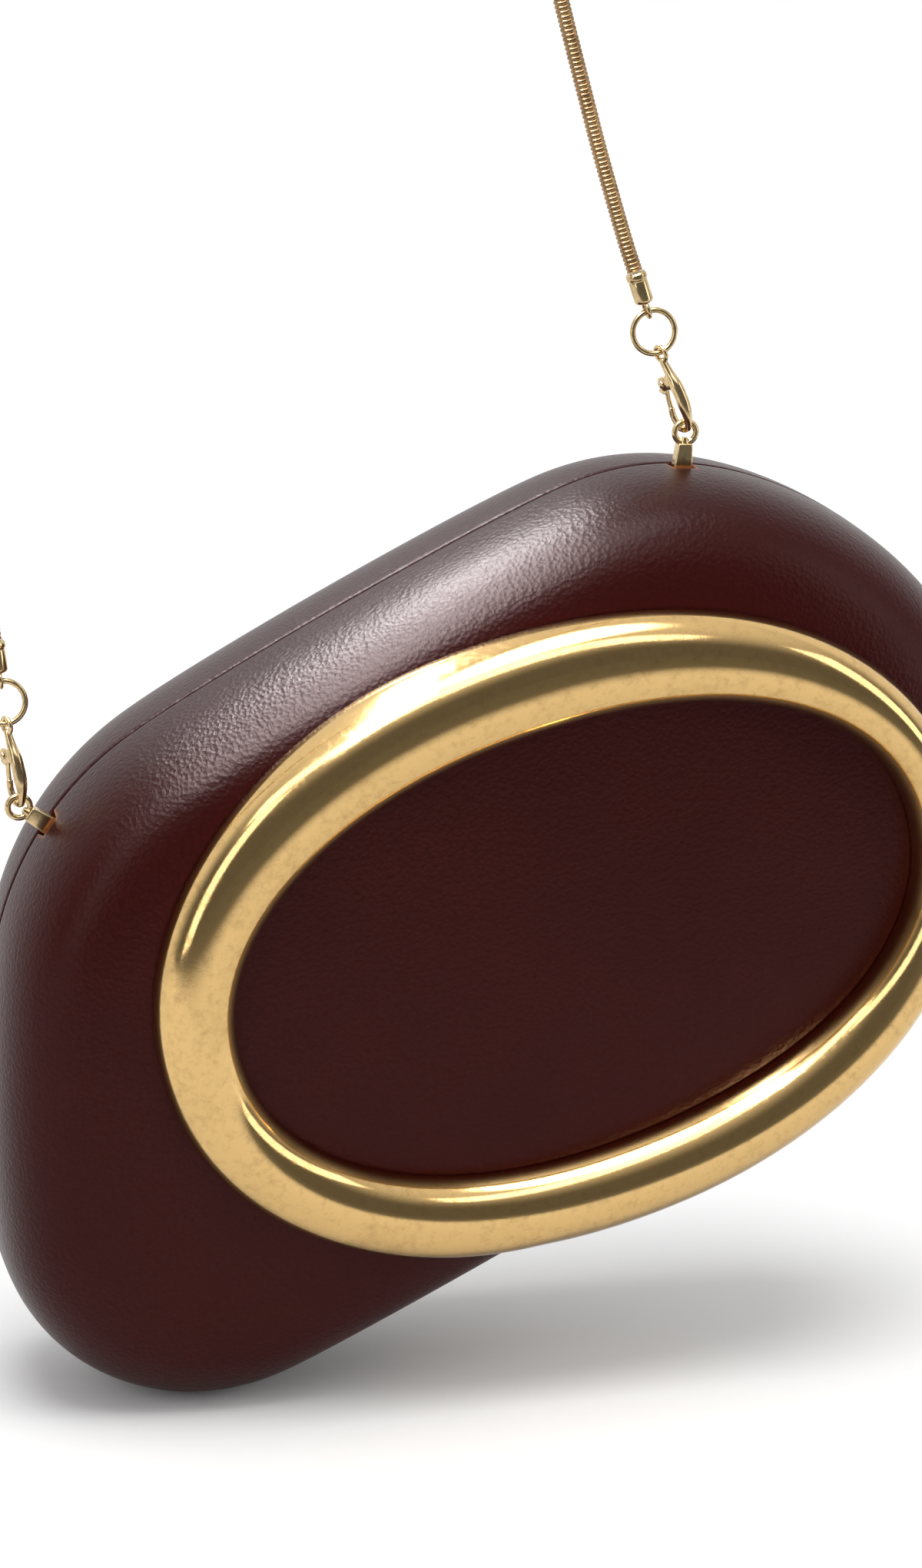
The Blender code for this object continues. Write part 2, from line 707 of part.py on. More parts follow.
def build_posts(leather, carrier, finishes):
    """Eye posts through notches in the front leather, with their nuts inside the frame."""
    nuts = []
    for hand, word in ((-1, "left"), (1, "right")):
        base, out, centre = eye_place(hand)
        along = Vector((out.z, 0, -out.x))
        foot = base - out * (frame_inset() - GAP)
        top = base + out * (EYE_HEIGHT - EYE_RADIUS)
        stem = []
        for place, width in ((foot, STEM_WIDTH), (top, STEM_TOP_WIDTH)):
            for a, b in ((-1, -1), (1, -1), (1, 1), (-1, 1)):
                stem.append(place + along * (a * width / 2) + Vector((0, b * STEM_DEPTH / 2, 0)))
        sides = [(0, 1, 2, 3), (4, 5, 6, 7), (0, 1, 5, 4), (1, 2, 6, 5), (2, 3, 7, 6), (3, 0, 4, 7)]
        post = solid(word + "_post", stem, sides, finishes["gold"], *carrier)
        eye = loop_wire(centre, EYE_RADIUS, EYE_WIRE_RADIUS, along, out, steps=24)
        combine(post, solid(word + "_eye", *eye, None, *carrier), "UNION")
        tail_end = frame_inset() + FRAME_WIDTH + GAP + POST_NUT_HEIGHT + GAP
        tail = rod(foot + out * GAP, base - out * tail_end, TAIL_RADIUS)
        combine(post, solid(word + "_tail", *tail, None, *carrier), "UNION")
        near = frame_inset() + FRAME_WIDTH + GAP
        start = base - out * near
        end = base - out * (near + POST_NUT_HEIGHT)
        nuts.append(collar(start, end, TAIL_RADIUS + TAIL_CLEARANCE, POST_NUT_RADIUS, corners=6))
        notch = []
        half = STEM_WIDTH / 2 + NOTCH_CLEARANCE
        back = POST_SET_BACK + STEM_DEPTH / 2 + NOTCH_CLEARANCE
        for place in (base - out * (2 * LEATHER), base + out * (2 * LEATHER)):
            for a, y in ((-1, -back), (1, -back), (1, 0.0), (-1, 0.0)):
                notch.append(Vector((place.x, y, place.z)) + along * (a * half))
        combine(leather, solid(word + "_notch", notch, sides, None, *carrier), "DIFFERENCE")
    solids("post_nut", nuts, finishes["gold"], carrier)


def build_ring(leather, core, carrier, finishes):
    """Oval ring on the face, held by studs through the shell with nuts set into the core."""
    solid("oval_ring", *oval_ring(), finishes["gold"], *carrier)
    studs = []
    nuts = []
    holes = []
    pockets = []
    for x, z, depth in stud_places():
        under = depth - LEATHER - GAP
        floor = under - STUD_NUT_COVER
        inside = floor - GAP - STUD_NUT_HEIGHT
        top = Vector((x, -(ring_crest() - RING_WALL - STUD_HEADROOM), z))
        studs.append(rod(top, Vector((x, -inside, z)), STUD_RADIUS))
        hole = STUD_RADIUS + STUD_CLEARANCE
        holes.append(rod(Vector((x, -(depth + LEATHER), z)), Vector((x, -(inside - CORE), z)), hole))
        start = Vector((x, -(floor - GAP), z))
        nuts.append(collar(start, Vector((x, -inside, z)), hole, STUD_NUT_RADIUS, corners=6))
        wide = STUD_NUT_RADIUS + STUD_CLEARANCE
        pockets.append(rod(Vector((x, -floor, z)), Vector((x, -(inside - CORE), z)), wide))
    solids("ring_stud", studs, finishes["steel"], carrier)
    solids("ring_nut", nuts, finishes["steel"], carrier)
    combine(leather, solid("leather_stud_holes", *merged(holes), None, *carrier), "DIFFERENCE")
    combine(core, solid("core_stud_holes", *merged(holes), None, *carrier), "DIFFERENCE")
    combine(core, solid("core_nut_pockets", *merged(pockets), None, *carrier), "DIFFERENCE")


def build_lip(carrier, finishes):
    """Thin strip inside the top of the front frame that the back frame closes over."""
    over_top = np.linspace(0, math.pi, 1441)
    points, _ = outline(over_top)
    first, last = np.interp((-LIP_HALF_WIDTH, LIP_HALF_WIDTH), -points[:, 0], over_top)
    between = [turn for turn in spread_turns(2 * AROUND) if first < turn < last]
    turns = np.array([first, *between, last])
    near = frame_inset() + FRAME_WIDTH + LIP_CLEARANCE
    strip = band(turns, near, near + LIP_THICKNESS, -(GAP + FRAME_DEPTH), LIP_REACH, closed=False)
    solid("closing_lip", *strip, finishes["gold"], *carrier)


def hook_route():
    """Centreline of a clasp's hook from its tip round under the eye wire and up its back."""
    seat = EYE_WIRE_RADIUS + HOOK_SEAT_CLEARANCE + HOOK_WIRE_RADIUS
    wide = HOOK_HALF_WIDTH
    low = [(math.sin(math.radians(a)), math.cos(math.radians(a))) for a in (50, 25, 0, -25, -50)]
    bottom = [(seat * 1.12 * s, -seat * c) for s, c in low]
    rise = HOOK_HEIGHT
    points = [(wide, HOOK_MOUTH_HEIGHT), (wide * 1.02, 0.4 * HOOK_MOUTH_HEIGHT)] + bottom
    points += [(-wide, 0.1 * rise), (-wide * 1.04, 0.27 * rise), (-wide * 0.95, 0.44 * rise)]
    points += [(-wide * 0.72, 0.62 * rise), (-wide * 0.35, 0.8 * rise), (0.0, rise)]
    thin = HOOK_WIRE_RADIUS
    thick = HOOK_BACK_RADIUS
    middle = (thin + thick) / 2
    radii = [thin] * 6 + [thin, middle, thick, thick, thick, middle, HOOK_NECK_RADIUS]
    return points, radii


def build_clasp(word, carrier, finishes):
    """Spring clasp: hook body with two cheeks and a link eye, its rivet, and its trigger."""
    points, radii = hook_route()
    route = [(0, y, z) for y, z in points]
    hook = tube(route, radii, flat_axis=Vector((1, 0, 0)))
    claw = solid(word + "_claw", *hook, finishes["gold"], carrier)
    inner = LUG_THICKNESS / 2 + CHEEK_GAP
    outer = inner + CHEEK_THICKNESS
    slabs = []
    discs = []
    for hand in (-1, 1):
        low, high = sorted((hand * inner, hand * outer))
        slabs.append(box(
            (low, -PIVOT_SIDE, PIVOT_HEIGHT - 0.8 * CHEEK_RADIUS),
            (high, PIVOT_SIDE, PIVOT_HEIGHT + 0.8 * CHEEK_RADIUS),
        ))
        near = (low, PIVOT_SIDE, PIVOT_HEIGHT)
        discs.append(rod(near, (high, PIVOT_SIDE, PIVOT_HEIGHT), CHEEK_RADIUS, 14))
    eye_middle = (0, 0, HOOK_HEIGHT + LINK_EYE_RADIUS)
    eye = loop_wire(eye_middle, LINK_EYE_RADIUS, LINK_EYE_WIRE, (0, 1, 0), (0, 0, 1), 14)
    bore = rod((-2 * outer, 0, 0), (2 * outer, 0, 0), RIVET_RADIUS + RIVET_CLEARANCE)
    bore = ([Vector(v) + Vector((0, PIVOT_SIDE, PIVOT_HEIGHT)) for v in bore[0]], bore[1])
    combine(claw, solid(word + "_cheek_slabs", *merged(slabs), None, carrier), "UNION")
    combine(claw, solid(word + "_cheek_discs", *merged(discs), None, carrier), "UNION")
    combine(claw, solid(word + "_link_eye", *eye, None, carrier), "UNION")
    combine(claw, solid(word + "_cheek_bore", *bore, None, carrier), "DIFFERENCE")

    head = RIVET_RADIUS * 1.8
    cap = outer + CHEEK_GAP
    profile = [(-cap - RIVET_RADIUS, head), (-cap, head), (-cap, RIVET_RADIUS)]
    profile += [(height * -1, radius) for height, radius in profile[::-1]]
    rivet = turned(profile, (0, PIVOT_SIDE, PIVOT_HEIGHT), (1, 0, 0), 8)
    solid(word + "_rivet", *rivet, finishes["gold"], carrier)

    pivot = empty(word + "_trigger_pivot", carrier, (0, PIVOT_SIDE, PIVOT_HEIGHT))
    end = HOOK_MOUTH_HEIGHT + GAP - PIVOT_HEIGHT
    side = HOOK_HALF_WIDTH - PIVOT_SIDE
    arm_shape = ((0, 0), (0.55, 0.3), (0.9, 0.6), (1, 0.85), (1, 1))
    arm = [(0, across * side, down * end) for across, down in arm_shape]
    arm_radii = [TRIGGER_RADIUS * k for k in (0.6, 0.9, 1.0, 1.0, 1.0)]
    bar = tube(arm, arm_radii, flat_axis=Vector((1, 0, 0)), flatten=0.66)
    trigger = solid(word + "_trigger", *bar, finishes["gold"], pivot)
    lug = rod((-LUG_THICKNESS / 2, 0, 0), (LUG_THICKNESS / 2, 0, 0), LUG_RADIUS)
    combine(trigger, solid(word + "_lug", *lug, None, pivot), "UNION")
    thumb_route = [
        (0, 0.7 * side, 0.4 * end),
        (0, side + 0.6 * TRIGGER_THUMB, 0.33 * end),
        (0, side + TRIGGER_THUMB, 0.3 * end),
    ]
    thumb_radii = [TRIGGER_RADIUS * k for k in (0.8, 0.8, 0.5)]
    thumb = tube(thumb_route, thumb_radii, flat_axis=Vector((1, 0, 0)))
    combine(trigger, solid(word + "_thumb", *thumb, None, pivot), "UNION")
    hole = rod((-LUG_RADIUS, 0, 0), (LUG_RADIUS, 0, 0), RIVET_RADIUS + RIVET_CLEARANCE)
    combine(trigger, solid(word + "_lug_bore", *hole, None, pivot), "DIFFERENCE")


def link_heights():
    """Heights above the eye wire of the jump ring's centre, the cap's eye and the cap's two ends."""
    slack = LINK_EYE_RADIUS - LINK_EYE_WIRE - JUMP_WIRE_RADIUS - LINK_CLEARANCE
    jump = HOOK_HEIGHT + LINK_EYE_RADIUS + slack + JUMP_RADIUS
    cap_eye = jump + JUMP_RADIUS + slack
    cap_start = cap_eye + LINK_EYE_RADIUS - LINK_EYE_WIRE / 2
    return jump, cap_eye, cap_start, cap_start + CAP_LENGTH


def build_strap_end(word, carrier, finishes):
    """Jump ring and end cap above a clasp."""
    jump, cap_eye, cap_start, cap_end = link_heights()
    ring = loop_wire((0, 0, jump), JUMP_RADIUS, JUMP_WIRE_RADIUS, (1, 0, 0), (0, 0, 1), 28)
    solid(word + "_jump_ring", *ring, finishes["gold"], carrier)
    bead = CAP_RADIUS * 1.12
    profile = [
        (cap_start, CAP_RADIUS * 0.55), (cap_start + 0.12 * CAP_LENGTH, CAP_RADIUS),
        (cap_start + 0.72 * CAP_LENGTH, CAP_RADIUS), (cap_start + 0.78 * CAP_LENGTH, bead),
        (cap_start + 0.94 * CAP_LENGTH, bead), (cap_end, CAP_RADIUS),
    ]
    cap = solid(word + "_end_cap", *turned(profile, (0, 0, 0), (0, 0, 1)), finishes["gold"], carrier)
    eye = loop_wire((0, 0, cap_eye), LINK_EYE_RADIUS, LINK_EYE_WIRE, (0, 1, 0), (0, 0, 1), 14)
    combine(cap, solid(word + "_cap_eye", *eye, None, carrier), "UNION")


def smooth_route(points):
    """Points at even steps along a Catmull-Rom curve through the given ones."""
    route = [Vector(p) for p in points]
    ends = [route[0] * 2 - route[1]] + route + [route[-1] * 2 - route[-2]]
    fine = []
    for i in range(1, len(ends) - 2):
        a, b, c, d = ends[i - 1:i + 3]
        for k in range(24):
            t = k / 24
            fine.append(0.5 * (2 * b + (c - a) * t + (2 * a - 5 * b + 4 * c - d) * t ** 2
                               + (3 * b - a - 3 * c + d) * t ** 3))
    fine.append(route[-1])
    run = [0.0]
    for before, after in zip(fine, fine[1:]):
        run.append(run[-1] + (after - before).length)
    count = max(2, round(run[-1] / CHAIN_STEP))
    marks = np.linspace(0, run[-1], count + 1)
    columns = [np.interp(marks, run, [p[k] for p in fine]) for k in range(3)]
    return list(zip(*columns, strict=True))


def build_chain(starts, carrier, finish):
    """Snake chain between the two end caps; starts are its first two and its last two points."""
    right, left = starts
    points = right + [Vector((x, 0, z)) for x, z in CHAIN_ROUTE] + left
    places = smooth_route(points)
    curve = bpy.data.curves.new("strap_chain", "CURVE")
    curve.dimensions = "3D"
    curve.bevel_depth = CHAIN_RADIUS
    curve.bevel_resolution = 2
    curve.render_resolution_u = 0
    curve.use_fill_caps = True
    spline = curve.splines.new("POLY")
    spline.points.add(len(places) - 1)
    for point, place in zip(spline.points, places, strict=True):
        point.co = (*place, 1.0)
    chain = bpy.data.objects.new("strap_chain", curve)
    bpy.context.collection.objects.link(chain)
    chain.parent = carrier
    curve.materials.append(finish)


def main():
    clear_scene()
    finishes = {
        "leather": material("burgundy leather", LEATHER_COLOUR, 0.38, 0.0),
        "lining": material("suede lining", LINING_COLOUR, 0.9, 0.0),
        "core": material("moulded core", CORE_COLOUR, 0.6, 0.0),
        "gold": material("antique gold", GOLD_COLOUR, 0.28, 1.0),
        "steel": material("steel", STEEL_COLOUR, 0.35, 1.0),
    }
    strap = empty("strap_hang_point")
    turn = (math.radians(HANG_LEAN), -math.radians(HANG_TILT), 0)
    swing = empty("bag_swing", strap, (EYE_LINE_X, 0, -EYE_LINE_DROP), turn)
    front = (swing, (0, POST_SET_BACK, -swing_height()))
    hinge_place = Vector(front[1]) + Vector((0, 0, hinge_height()))
    hinge = empty("shell_hinge", swing, hinge_place)
    back = (hinge, (0, 0, -hinge_height()))

    leather, core = build_shell(-1, front, finishes)
    build_shell(1, back, finishes)
    build_posts(leather, front, finishes)
    build_ring(leather, core, front, finishes)
    build_lip(front, finishes)
    build_leaf(-1, front, finishes)
    build_leaf(1, back, finishes)
    reach = hinge_length() / 2
    pin = rod((HINGE_X - reach, 0, hinge_height()), (HINGE_X + reach, 0, hinge_height()), PIN_RADIUS)
    solid("hinge_pin", *pin, finishes["steel"], *front)

    hang = Matrix.Translation((EYE_LINE_X, 0, -EYE_LINE_DROP)) @ Matrix.Rotation(turn[1], 4, "Y")
    hang = hang @ Matrix.Rotation(turn[0], 4, "X") @ Matrix.Translation(front[1])
    starts = []
    for hand, word, pull in ((1, "right", RIGHT_PULL), (-1, "left", LEFT_PULL)):
        place = hang @ eye_contact(hand, pull)
        tilt = Matrix.Rotation(-math.radians(pull), 3, "Y")
        end = empty(word + "_strap_end", strap, place, (0, -math.radians(pull), 0))
        clasp = empty(word + "_clasp", end, (0, 0, 0), (0, 0, math.radians(CLASP_TWIST)))
        build_clasp(word, clasp, finishes)
        build_strap_end(word, end, finishes)
        along = tilt @ Vector((0, 0, 1))
        first = place + along * (link_heights()[3] + GAP)
        second = place + along * (link_heights()[3] + CHAIN_STEP)
        starts.append([first, second])
    build_chain((starts[0], starts[1][::-1]), strap, finishes["gold"])


main()
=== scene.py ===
import math

import bmesh
import bpy
import numpy as np
from mathutils import Matrix, Vector


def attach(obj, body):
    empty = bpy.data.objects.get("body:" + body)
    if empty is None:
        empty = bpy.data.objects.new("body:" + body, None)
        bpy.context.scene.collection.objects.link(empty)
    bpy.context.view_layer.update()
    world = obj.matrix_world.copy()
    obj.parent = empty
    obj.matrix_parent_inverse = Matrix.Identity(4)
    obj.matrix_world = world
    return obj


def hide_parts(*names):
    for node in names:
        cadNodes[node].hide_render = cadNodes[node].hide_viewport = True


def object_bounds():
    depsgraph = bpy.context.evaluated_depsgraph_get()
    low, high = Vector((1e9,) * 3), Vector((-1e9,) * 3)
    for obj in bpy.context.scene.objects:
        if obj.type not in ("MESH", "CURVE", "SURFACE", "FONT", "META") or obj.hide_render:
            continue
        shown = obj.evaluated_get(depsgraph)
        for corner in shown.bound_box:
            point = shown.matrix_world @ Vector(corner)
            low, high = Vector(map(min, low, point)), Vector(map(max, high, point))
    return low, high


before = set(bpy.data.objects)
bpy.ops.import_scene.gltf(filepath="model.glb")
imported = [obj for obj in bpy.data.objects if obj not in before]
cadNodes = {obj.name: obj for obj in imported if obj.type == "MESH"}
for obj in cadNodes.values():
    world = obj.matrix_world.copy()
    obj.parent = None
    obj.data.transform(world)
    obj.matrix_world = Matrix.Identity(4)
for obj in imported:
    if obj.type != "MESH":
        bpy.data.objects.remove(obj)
cadBox = [list(map(float, corner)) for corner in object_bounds()]
print("frame loaded:", len(cadNodes), "nodes")

# how the bag hangs, in metres and degrees: the line of its two eyes, its tilt and its lean there, and its
# own middle plane and centre, set back from that line and dropped below it
hanging = {"eyeLine": (0.0166, 0.0, -0.1736), "tilt": 27.2, "lean": 5.3, "setBack": 0.0020, "drop": 0.073601}

bagPlace = (
    Matrix.Translation(hanging["eyeLine"])
    @ Matrix.Rotation(-math.radians(hanging["tilt"]), 4, "Y")
    @ Matrix.Rotation(math.radians(hanging["lean"]), 4, "X")
    @ Matrix.Translation((0, hanging["setBack"], -hanging["drop"]))
)


# every point p becomes R p + t, with the turn R and the shift t of place
def placed(points, place):
    m = np.array(place)
    return np.asarray(points, float) @ m[:3, :3].T + m[:3, 3]


# rows[i, j] is a point of a surface of two parameters: i runs along it and j round it, and each square of
# the grid is a face. A pole is a first or last row drawn together into one point; other ends get a flat cap
def gridObject(name, rows, body, material, loopClosed=False, poles=(False, False), sharp=40.0):
    rows = np.asarray(rows, float)
    count, around = rows.shape[:2]
    keep = rows[1 if poles[0] else 0:count - 1 if poles[1] else count]
    points = keep.reshape(-1, 3)
    kept = len(keep)
    i, j = np.meshgrid(np.arange(kept if loopClosed else kept - 1), np.arange(around), indexing="ij")
    nextI = (i + 1) % kept
    nextJ = (j + 1) % around
    corners = [i * around + j, i * around + nextJ, nextI * around + nextJ, nextI * around + j]
    faces = [tuple(quad) for quad in np.stack(corners, -1).reshape(-1, 4).tolist()]
    column = np.arange(around)
    for end, pole in enumerate(poles):
        base = 0 if end == 0 else (kept - 1) * around
        if pole:
            points = np.vstack([points, rows[0 if end == 0 else -1].mean(axis=0)])
            tip = np.full(around, len(points) - 1)
            a = base + column
            b = base + (column + 1) % around
            fan = np.stack([b, a, tip] if end == 0 else [a, b, tip], -1)
            faces += [tuple(face) for face in fan.tolist()]
        elif not loopClosed:
            cap = (base + column).tolist()
            faces.append(tuple(cap[::-1] if end == 0 else cap))
    mesh = bpy.data.meshes.new(name)
    mesh.from_pydata(points.tolist(), [], faces)
    return finished(name, mesh, body, material, sharp)


# turns the faces outward, shades them smooth up to the sharp angle and hangs the piece on its body
def finished(name, mesh, body, material, sharp=40.0):
    work = bmesh.new()
    work.from_mesh(mesh)
    bmesh.ops.recalc_face_normals(work, faces=work.faces)
    work.to_mesh(mesh)
    work.free()
    mesh.shade_smooth()
    mesh.set_sharp_from_angle(angle=math.radians(sharp))
    piece = bpy.data.objects.new(name, mesh)
    bpy.context.collection.objects.link(piece)
    mesh.materials.append(material)
    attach(piece, body)
    return piece


# several meshes of one piece become one mesh, in the first one's object
def joined(name, pieces):
    work = bmesh.new()
    for piece in pieces:
        work.from_mesh(piece.data)
    work.to_mesh(pieces[0].data)
    work.free()
    for piece in pieces[1:]:
        bpy.data.objects.remove(piece)
    pieces[0].name = name
    return pieces[0]


# a node's output, whose sums and products add Math nodes
class Sock:
    def __init__(self, paint, socket):
        self.paint = paint
        self.socket = socket

    def maths(self, operation, first, second):
        return self.paint.node("ShaderNodeMath", {"operation": operation}, {0: first, 1: second})

    def __add__(self, other):
        return self.maths("ADD", self, other)

    def __mul__(self, other):
        return self.maths("MULTIPLY", self, other)

    def __rsub__(self, other):
        return self.maths("SUBTRACT", other, self)

    __radd__ = __add__
    __rmul__ = __mul__

    # from low to high it becomes 0 to 1, and it stays 0 below and 1 above
    def clamped(self, low, high):
        return self.paint.node(
            "ShaderNodeMapRange", {"clamp": True}, {"Value": self, "From Min": low, "From Max": high}
        )


# a material, whose nodes feed its Principled shader; constants are that shader's sockets, _ for a space
class Paint:
    def __init__(self, name, colour, roughness, metallic=0.0, **constants):
        self.material = bpy.data.materials.new(name)
        self.material.use_nodes = True
        self.tree = self.material.node_tree
        self.shader = self.tree.nodes["Principled BSDF"]
        self.shader.inputs["Base Color"].default_value = (*colour, 1.0)
        self.shader.inputs["Roughness"].default_value = roughness
        self.shader.inputs["Metallic"].default_value = metallic
        for socket, value in constants.items():
            self.shader.inputs[socket.replace("_", " ")].default_value = value

    def node(self, kind, settings=None, inputs=None, output=0):
        made = self.tree.nodes.new(kind)
        for key, value in (settings or {}).items():
            setattr(made, key, value)
        for key, value in (inputs or {}).items():
            self.feed(made.inputs[key], value)
        return Sock(self, made.outputs[output])

    def feed(self, socket, value):
        if isinstance(value, Sock):
            self.tree.links.new(value.socket, socket)
        elif socket.type == "RGBA":
            socket.default_value = (*value, 1.0)
        else:
            socket.default_value = value

    def coordinates(self):
        return self.node("ShaderNodeTexCoord", output="Object")

    def noise(self, scale, detail=4.0, roughness=0.5):
        inputs = {"Vector": self.coordinates(), "Scale": scale, "Detail": detail, "Roughness": roughness}
        return self.node("ShaderNodeTexNoise", {}, inputs)

    def mix(self, factor, first, second):
        return self.node("ShaderNodeMix", {"data_type": "RGBA"}, {0: factor, 6: first, 7: second}, output=2)

    def attribute(self, name):
        return self.node("ShaderNodeAttribute", {"attribute_name": name}, output="Fac")

    def bump(self, height, strength, distance):
        inputs = {"Height": height, "Strength": strength, "Distance": distance}
        return self.node("ShaderNodeBump", {}, inputs)

    def drive(self, socket, value):
        self.feed(self.shader.inputs[socket], value)


# burgundy calf with pores and creases, and its raw tan edge where cutEdge is 1
def leatherPaint():
    look = {
        "deep": (0.027, 0.0018, 0.0013), "warm": (0.040, 0.0040, 0.0028), "cut": (0.34, 0.15, 0.07),
        "clouds": 28, "pores": 1150.0, "creases": 950, "fine": 4200, "gloss": 0.24, "coat": 0.05,
        "relief": 0.45, "reliefHeight": 0.00022,
    }
    paint = Paint("burgundyLeather", look["deep"], 0.4, Coat_Roughness=0.25, Coat_IOR=1.4,
                  Specular_IOR_Level=0.13, Specular_Tint=(1.0, 0.82, 0.82, 1.0))
    cloud = paint.noise(look["clouds"], 3)
    cells = {"Vector": paint.coordinates(), "Scale": look["pores"]}
    pores = paint.node("ShaderNodeTexVoronoi", {"feature": "F1"}, cells)
    creases = paint.noise(look["creases"], 5, 0.6)
    fine = paint.noise(look["fine"], 2)
    tone = paint.mix(cloud.clamped(0.3, 0.7), look["deep"], look["warm"])
    tone = paint.mix((pores * 0.5).clamped(0.0, 0.5), tone, look["deep"])
    cut = paint.attribute("cutEdge")
    paint.drive("Base Color", paint.mix(cut, tone, look["cut"]))
    paint.drive("Roughness", look["gloss"] + creases * 0.14 + cut * 0.3)
    paint.drive("Coat Weight", look["coat"] - 0.04 * fine)
    grain = pores * 0.7 + creases * 0.8 + fine * 0.3
    paint.drive("Normal", paint.bump(grain, look["relief"], look["reliefHeight"]))
    return paint.material


# scales of the patina's clouds, of its spots and of the scratches, and the relief of the wear
wear = {"clouds": 60, "spots": 520, "scratches": 2400, "relief": 0.12, "reliefHeight": 0.00012}


def goldPaint(name, bright, patina, amount, roughness):
    paint = Paint(name, bright, roughness, 1.0)
    broad = paint.noise(wear["clouds"], 4, 0.55)
    small = paint.noise(wear["spots"], 4, 0.65)
    scratch = paint.noise(wear["scratches"], 3, 0.7)
    worn = (broad * 0.5 + small * 0.5).clamped(0.48, 0.72)
    spots = (small * 0.6 + scratch * 0.4).clamped(0.50, 0.66)
    paint.drive("Base Color", paint.mix((worn + spots * 0.6) * amount, bright, patina))
    paint.drive("Roughness", roughness + worn * 0.08 + spots * 0.05)
    paint.drive("Normal", paint.bump(scratch * 0.4 + small * 0.6, wear["relief"], wear["reliefHeight"]))
    return paint.material


def suedePaint():
    look = {"nap": (0.10, 0.052, 0.038), "dark": (0.055, 0.027, 0.020), "strokes": 60, "fibres": 3000,
            "relief": 0.5, "reliefHeight": 0.0002}
    paint = Paint("suedeLining", look["nap"], 0.95, Sheen_Weight=0.35, Sheen_Roughness=0.6)
    strokes = paint.noise(look["strokes"], 3)
    fibre = paint.noise(look["fibres"], 4, 0.7)
    shade = (strokes * 0.6 + fibre * 0.5).clamped(0.35, 0.75)
    paint.drive("Base Color", paint.mix(shade, look["dark"], look["nap"]))
    paint.drive("Roughness", 0.82 + fibre * 0.15)
    paint.drive("Normal", paint.bump(fibre, look["relief"], look["reliefHeight"]))
    return paint.material


def corePaint():
    look = {"colour": (0.018, 0.016, 0.016), "speckles": 900, "relief": 0.2, "reliefHeight": 0.0001}
    paint = Paint("mouldedCore", look["colour"], 0.6)
    speckle = paint.noise(look["speckles"], 3)
    paint.drive("Roughness", 0.5 + speckle * 0.25)
    paint.drive("Normal", paint.bump(speckle, look["relief"], look["reliefHeight"]))
    return paint.material


def steelPaint():
    look = {"colour": (0.55, 0.55, 0.56), "dull": (0.42, 0.42, 0.43), "bright": (0.62, 0.62, 0.63),
            "haze": 700}
    paint = Paint("plainSteel", look["colour"], 0.33, 1.0)
    haze = paint.noise(look["haze"], 4, 0.6)
    paint.drive("Base Color", paint.mix(haze, look["dull"], look["bright"]))
    paint.drive("Roughness", 0.26 + haze * 0.2)
    return paint.material


leather = leatherPaint()
ringGold = goldPaint("antiqueGoldRing", (0.72, 0.48, 0.20), (0.22, 0.12, 0.032), 0.27, 0.10)
fittingGold = goldPaint("antiqueGoldFittings", (0.72, 0.54, 0.29), (0.18, 0.11, 0.045), 0.55, 0.15)
chainGold = goldPaint("chainGold", (0.40, 0.25, 0.12), (0.10, 0.055, 0.025), 0.75, 0.24)
suede = suedePaint()
core = corePaint()
steel = steelPaint()
print("materials made")

# the shells, in metres, in the bag's own frame: the seam's outline is a soft hull of four circles (x, z, r),
# and each shell is a dome over it. faceAngle and liningAngle say where their steep sides end, in degrees
shell = {
    "circles": [(0.0421, 0.0234, 0.0504), (-0.0403, 0.0113, 0.0619), (0.0436, 0.0059, 0.0596),
                (-0.0824, -0.0162, 0.0375)],
    "softness": 0.0018, "centre": (-0.0081, 0.0102), "depth": 0.0305, "flatness": 9.6, "fullness": 2.56,
    "seamGap": 0.0003, "leather": 0.0012, "core": 0.0025, "lining": 0.0008, "edgeRound": 0.0005,
    "frameWidth": 0.006, "frameDepth": 0.0034, "frameBevel": 0.0004, "faceAngle": 80, "liningAngle": 78,
}
shellSides = ((-1, "front"), (1, "back"))


# seam outline. Its reach in the direction n of a turn is h = s log(sum of exp((n.c + r) / s)) over the
# circles of centre c and radius r, and its point there is (h - inset) n + h' t, with the tangent t
def seamOutline(turns, inset=0.0):
    circles = np.array(shell["circles"])
    normal = np.stack([np.cos(turns), np.sin(turns)], -1)
    tangent = np.stack([-np.sin(turns), np.cos(turns)], -1)
    reach = (normal @ circles[:, :2].T + circles[:, 2]) / shell["softness"]
    top = reach.max(axis=-1, keepdims=True)
    share = np.exp(reach - top)
    total = share.sum(axis=-1, keepdims=True)
    support = shell["softness"] * (np.log(total) + top)[..., 0]
    slide = (share / total * (tangent @ circles[:, :2].T)).sum(axis=-1)
    return (support - np.asarray(inset))[..., None] * normal + slide[..., None] * tangent, normal


# turns at even steps of a measure: the outline's length, plus half as much for its turning, plus an
# arctangent step at each extra turn, which draws more of them there
def evenTurns(count, extra=(), bending=0.5, pull=0.10, spread=0.035):
    fine = np.linspace(-math.pi, math.pi, 7201)
    points, _ = seamOutline(fine)
    run = np.concatenate([[0.0], np.cumsum(np.linalg.norm(np.diff(points, axis=0), axis=1))])
    measure = run / run[-1] + bending * (fine - fine[0]) / (2 * math.pi)
    for turn in extra:
        measure = measure + pull * np.arctan((fine - turn) / spread) / math.pi
    measure = (measure - measure[0]) / (measure[-1] - measure[0])
    return np.interp(np.arange(count) / count, measure, fine)


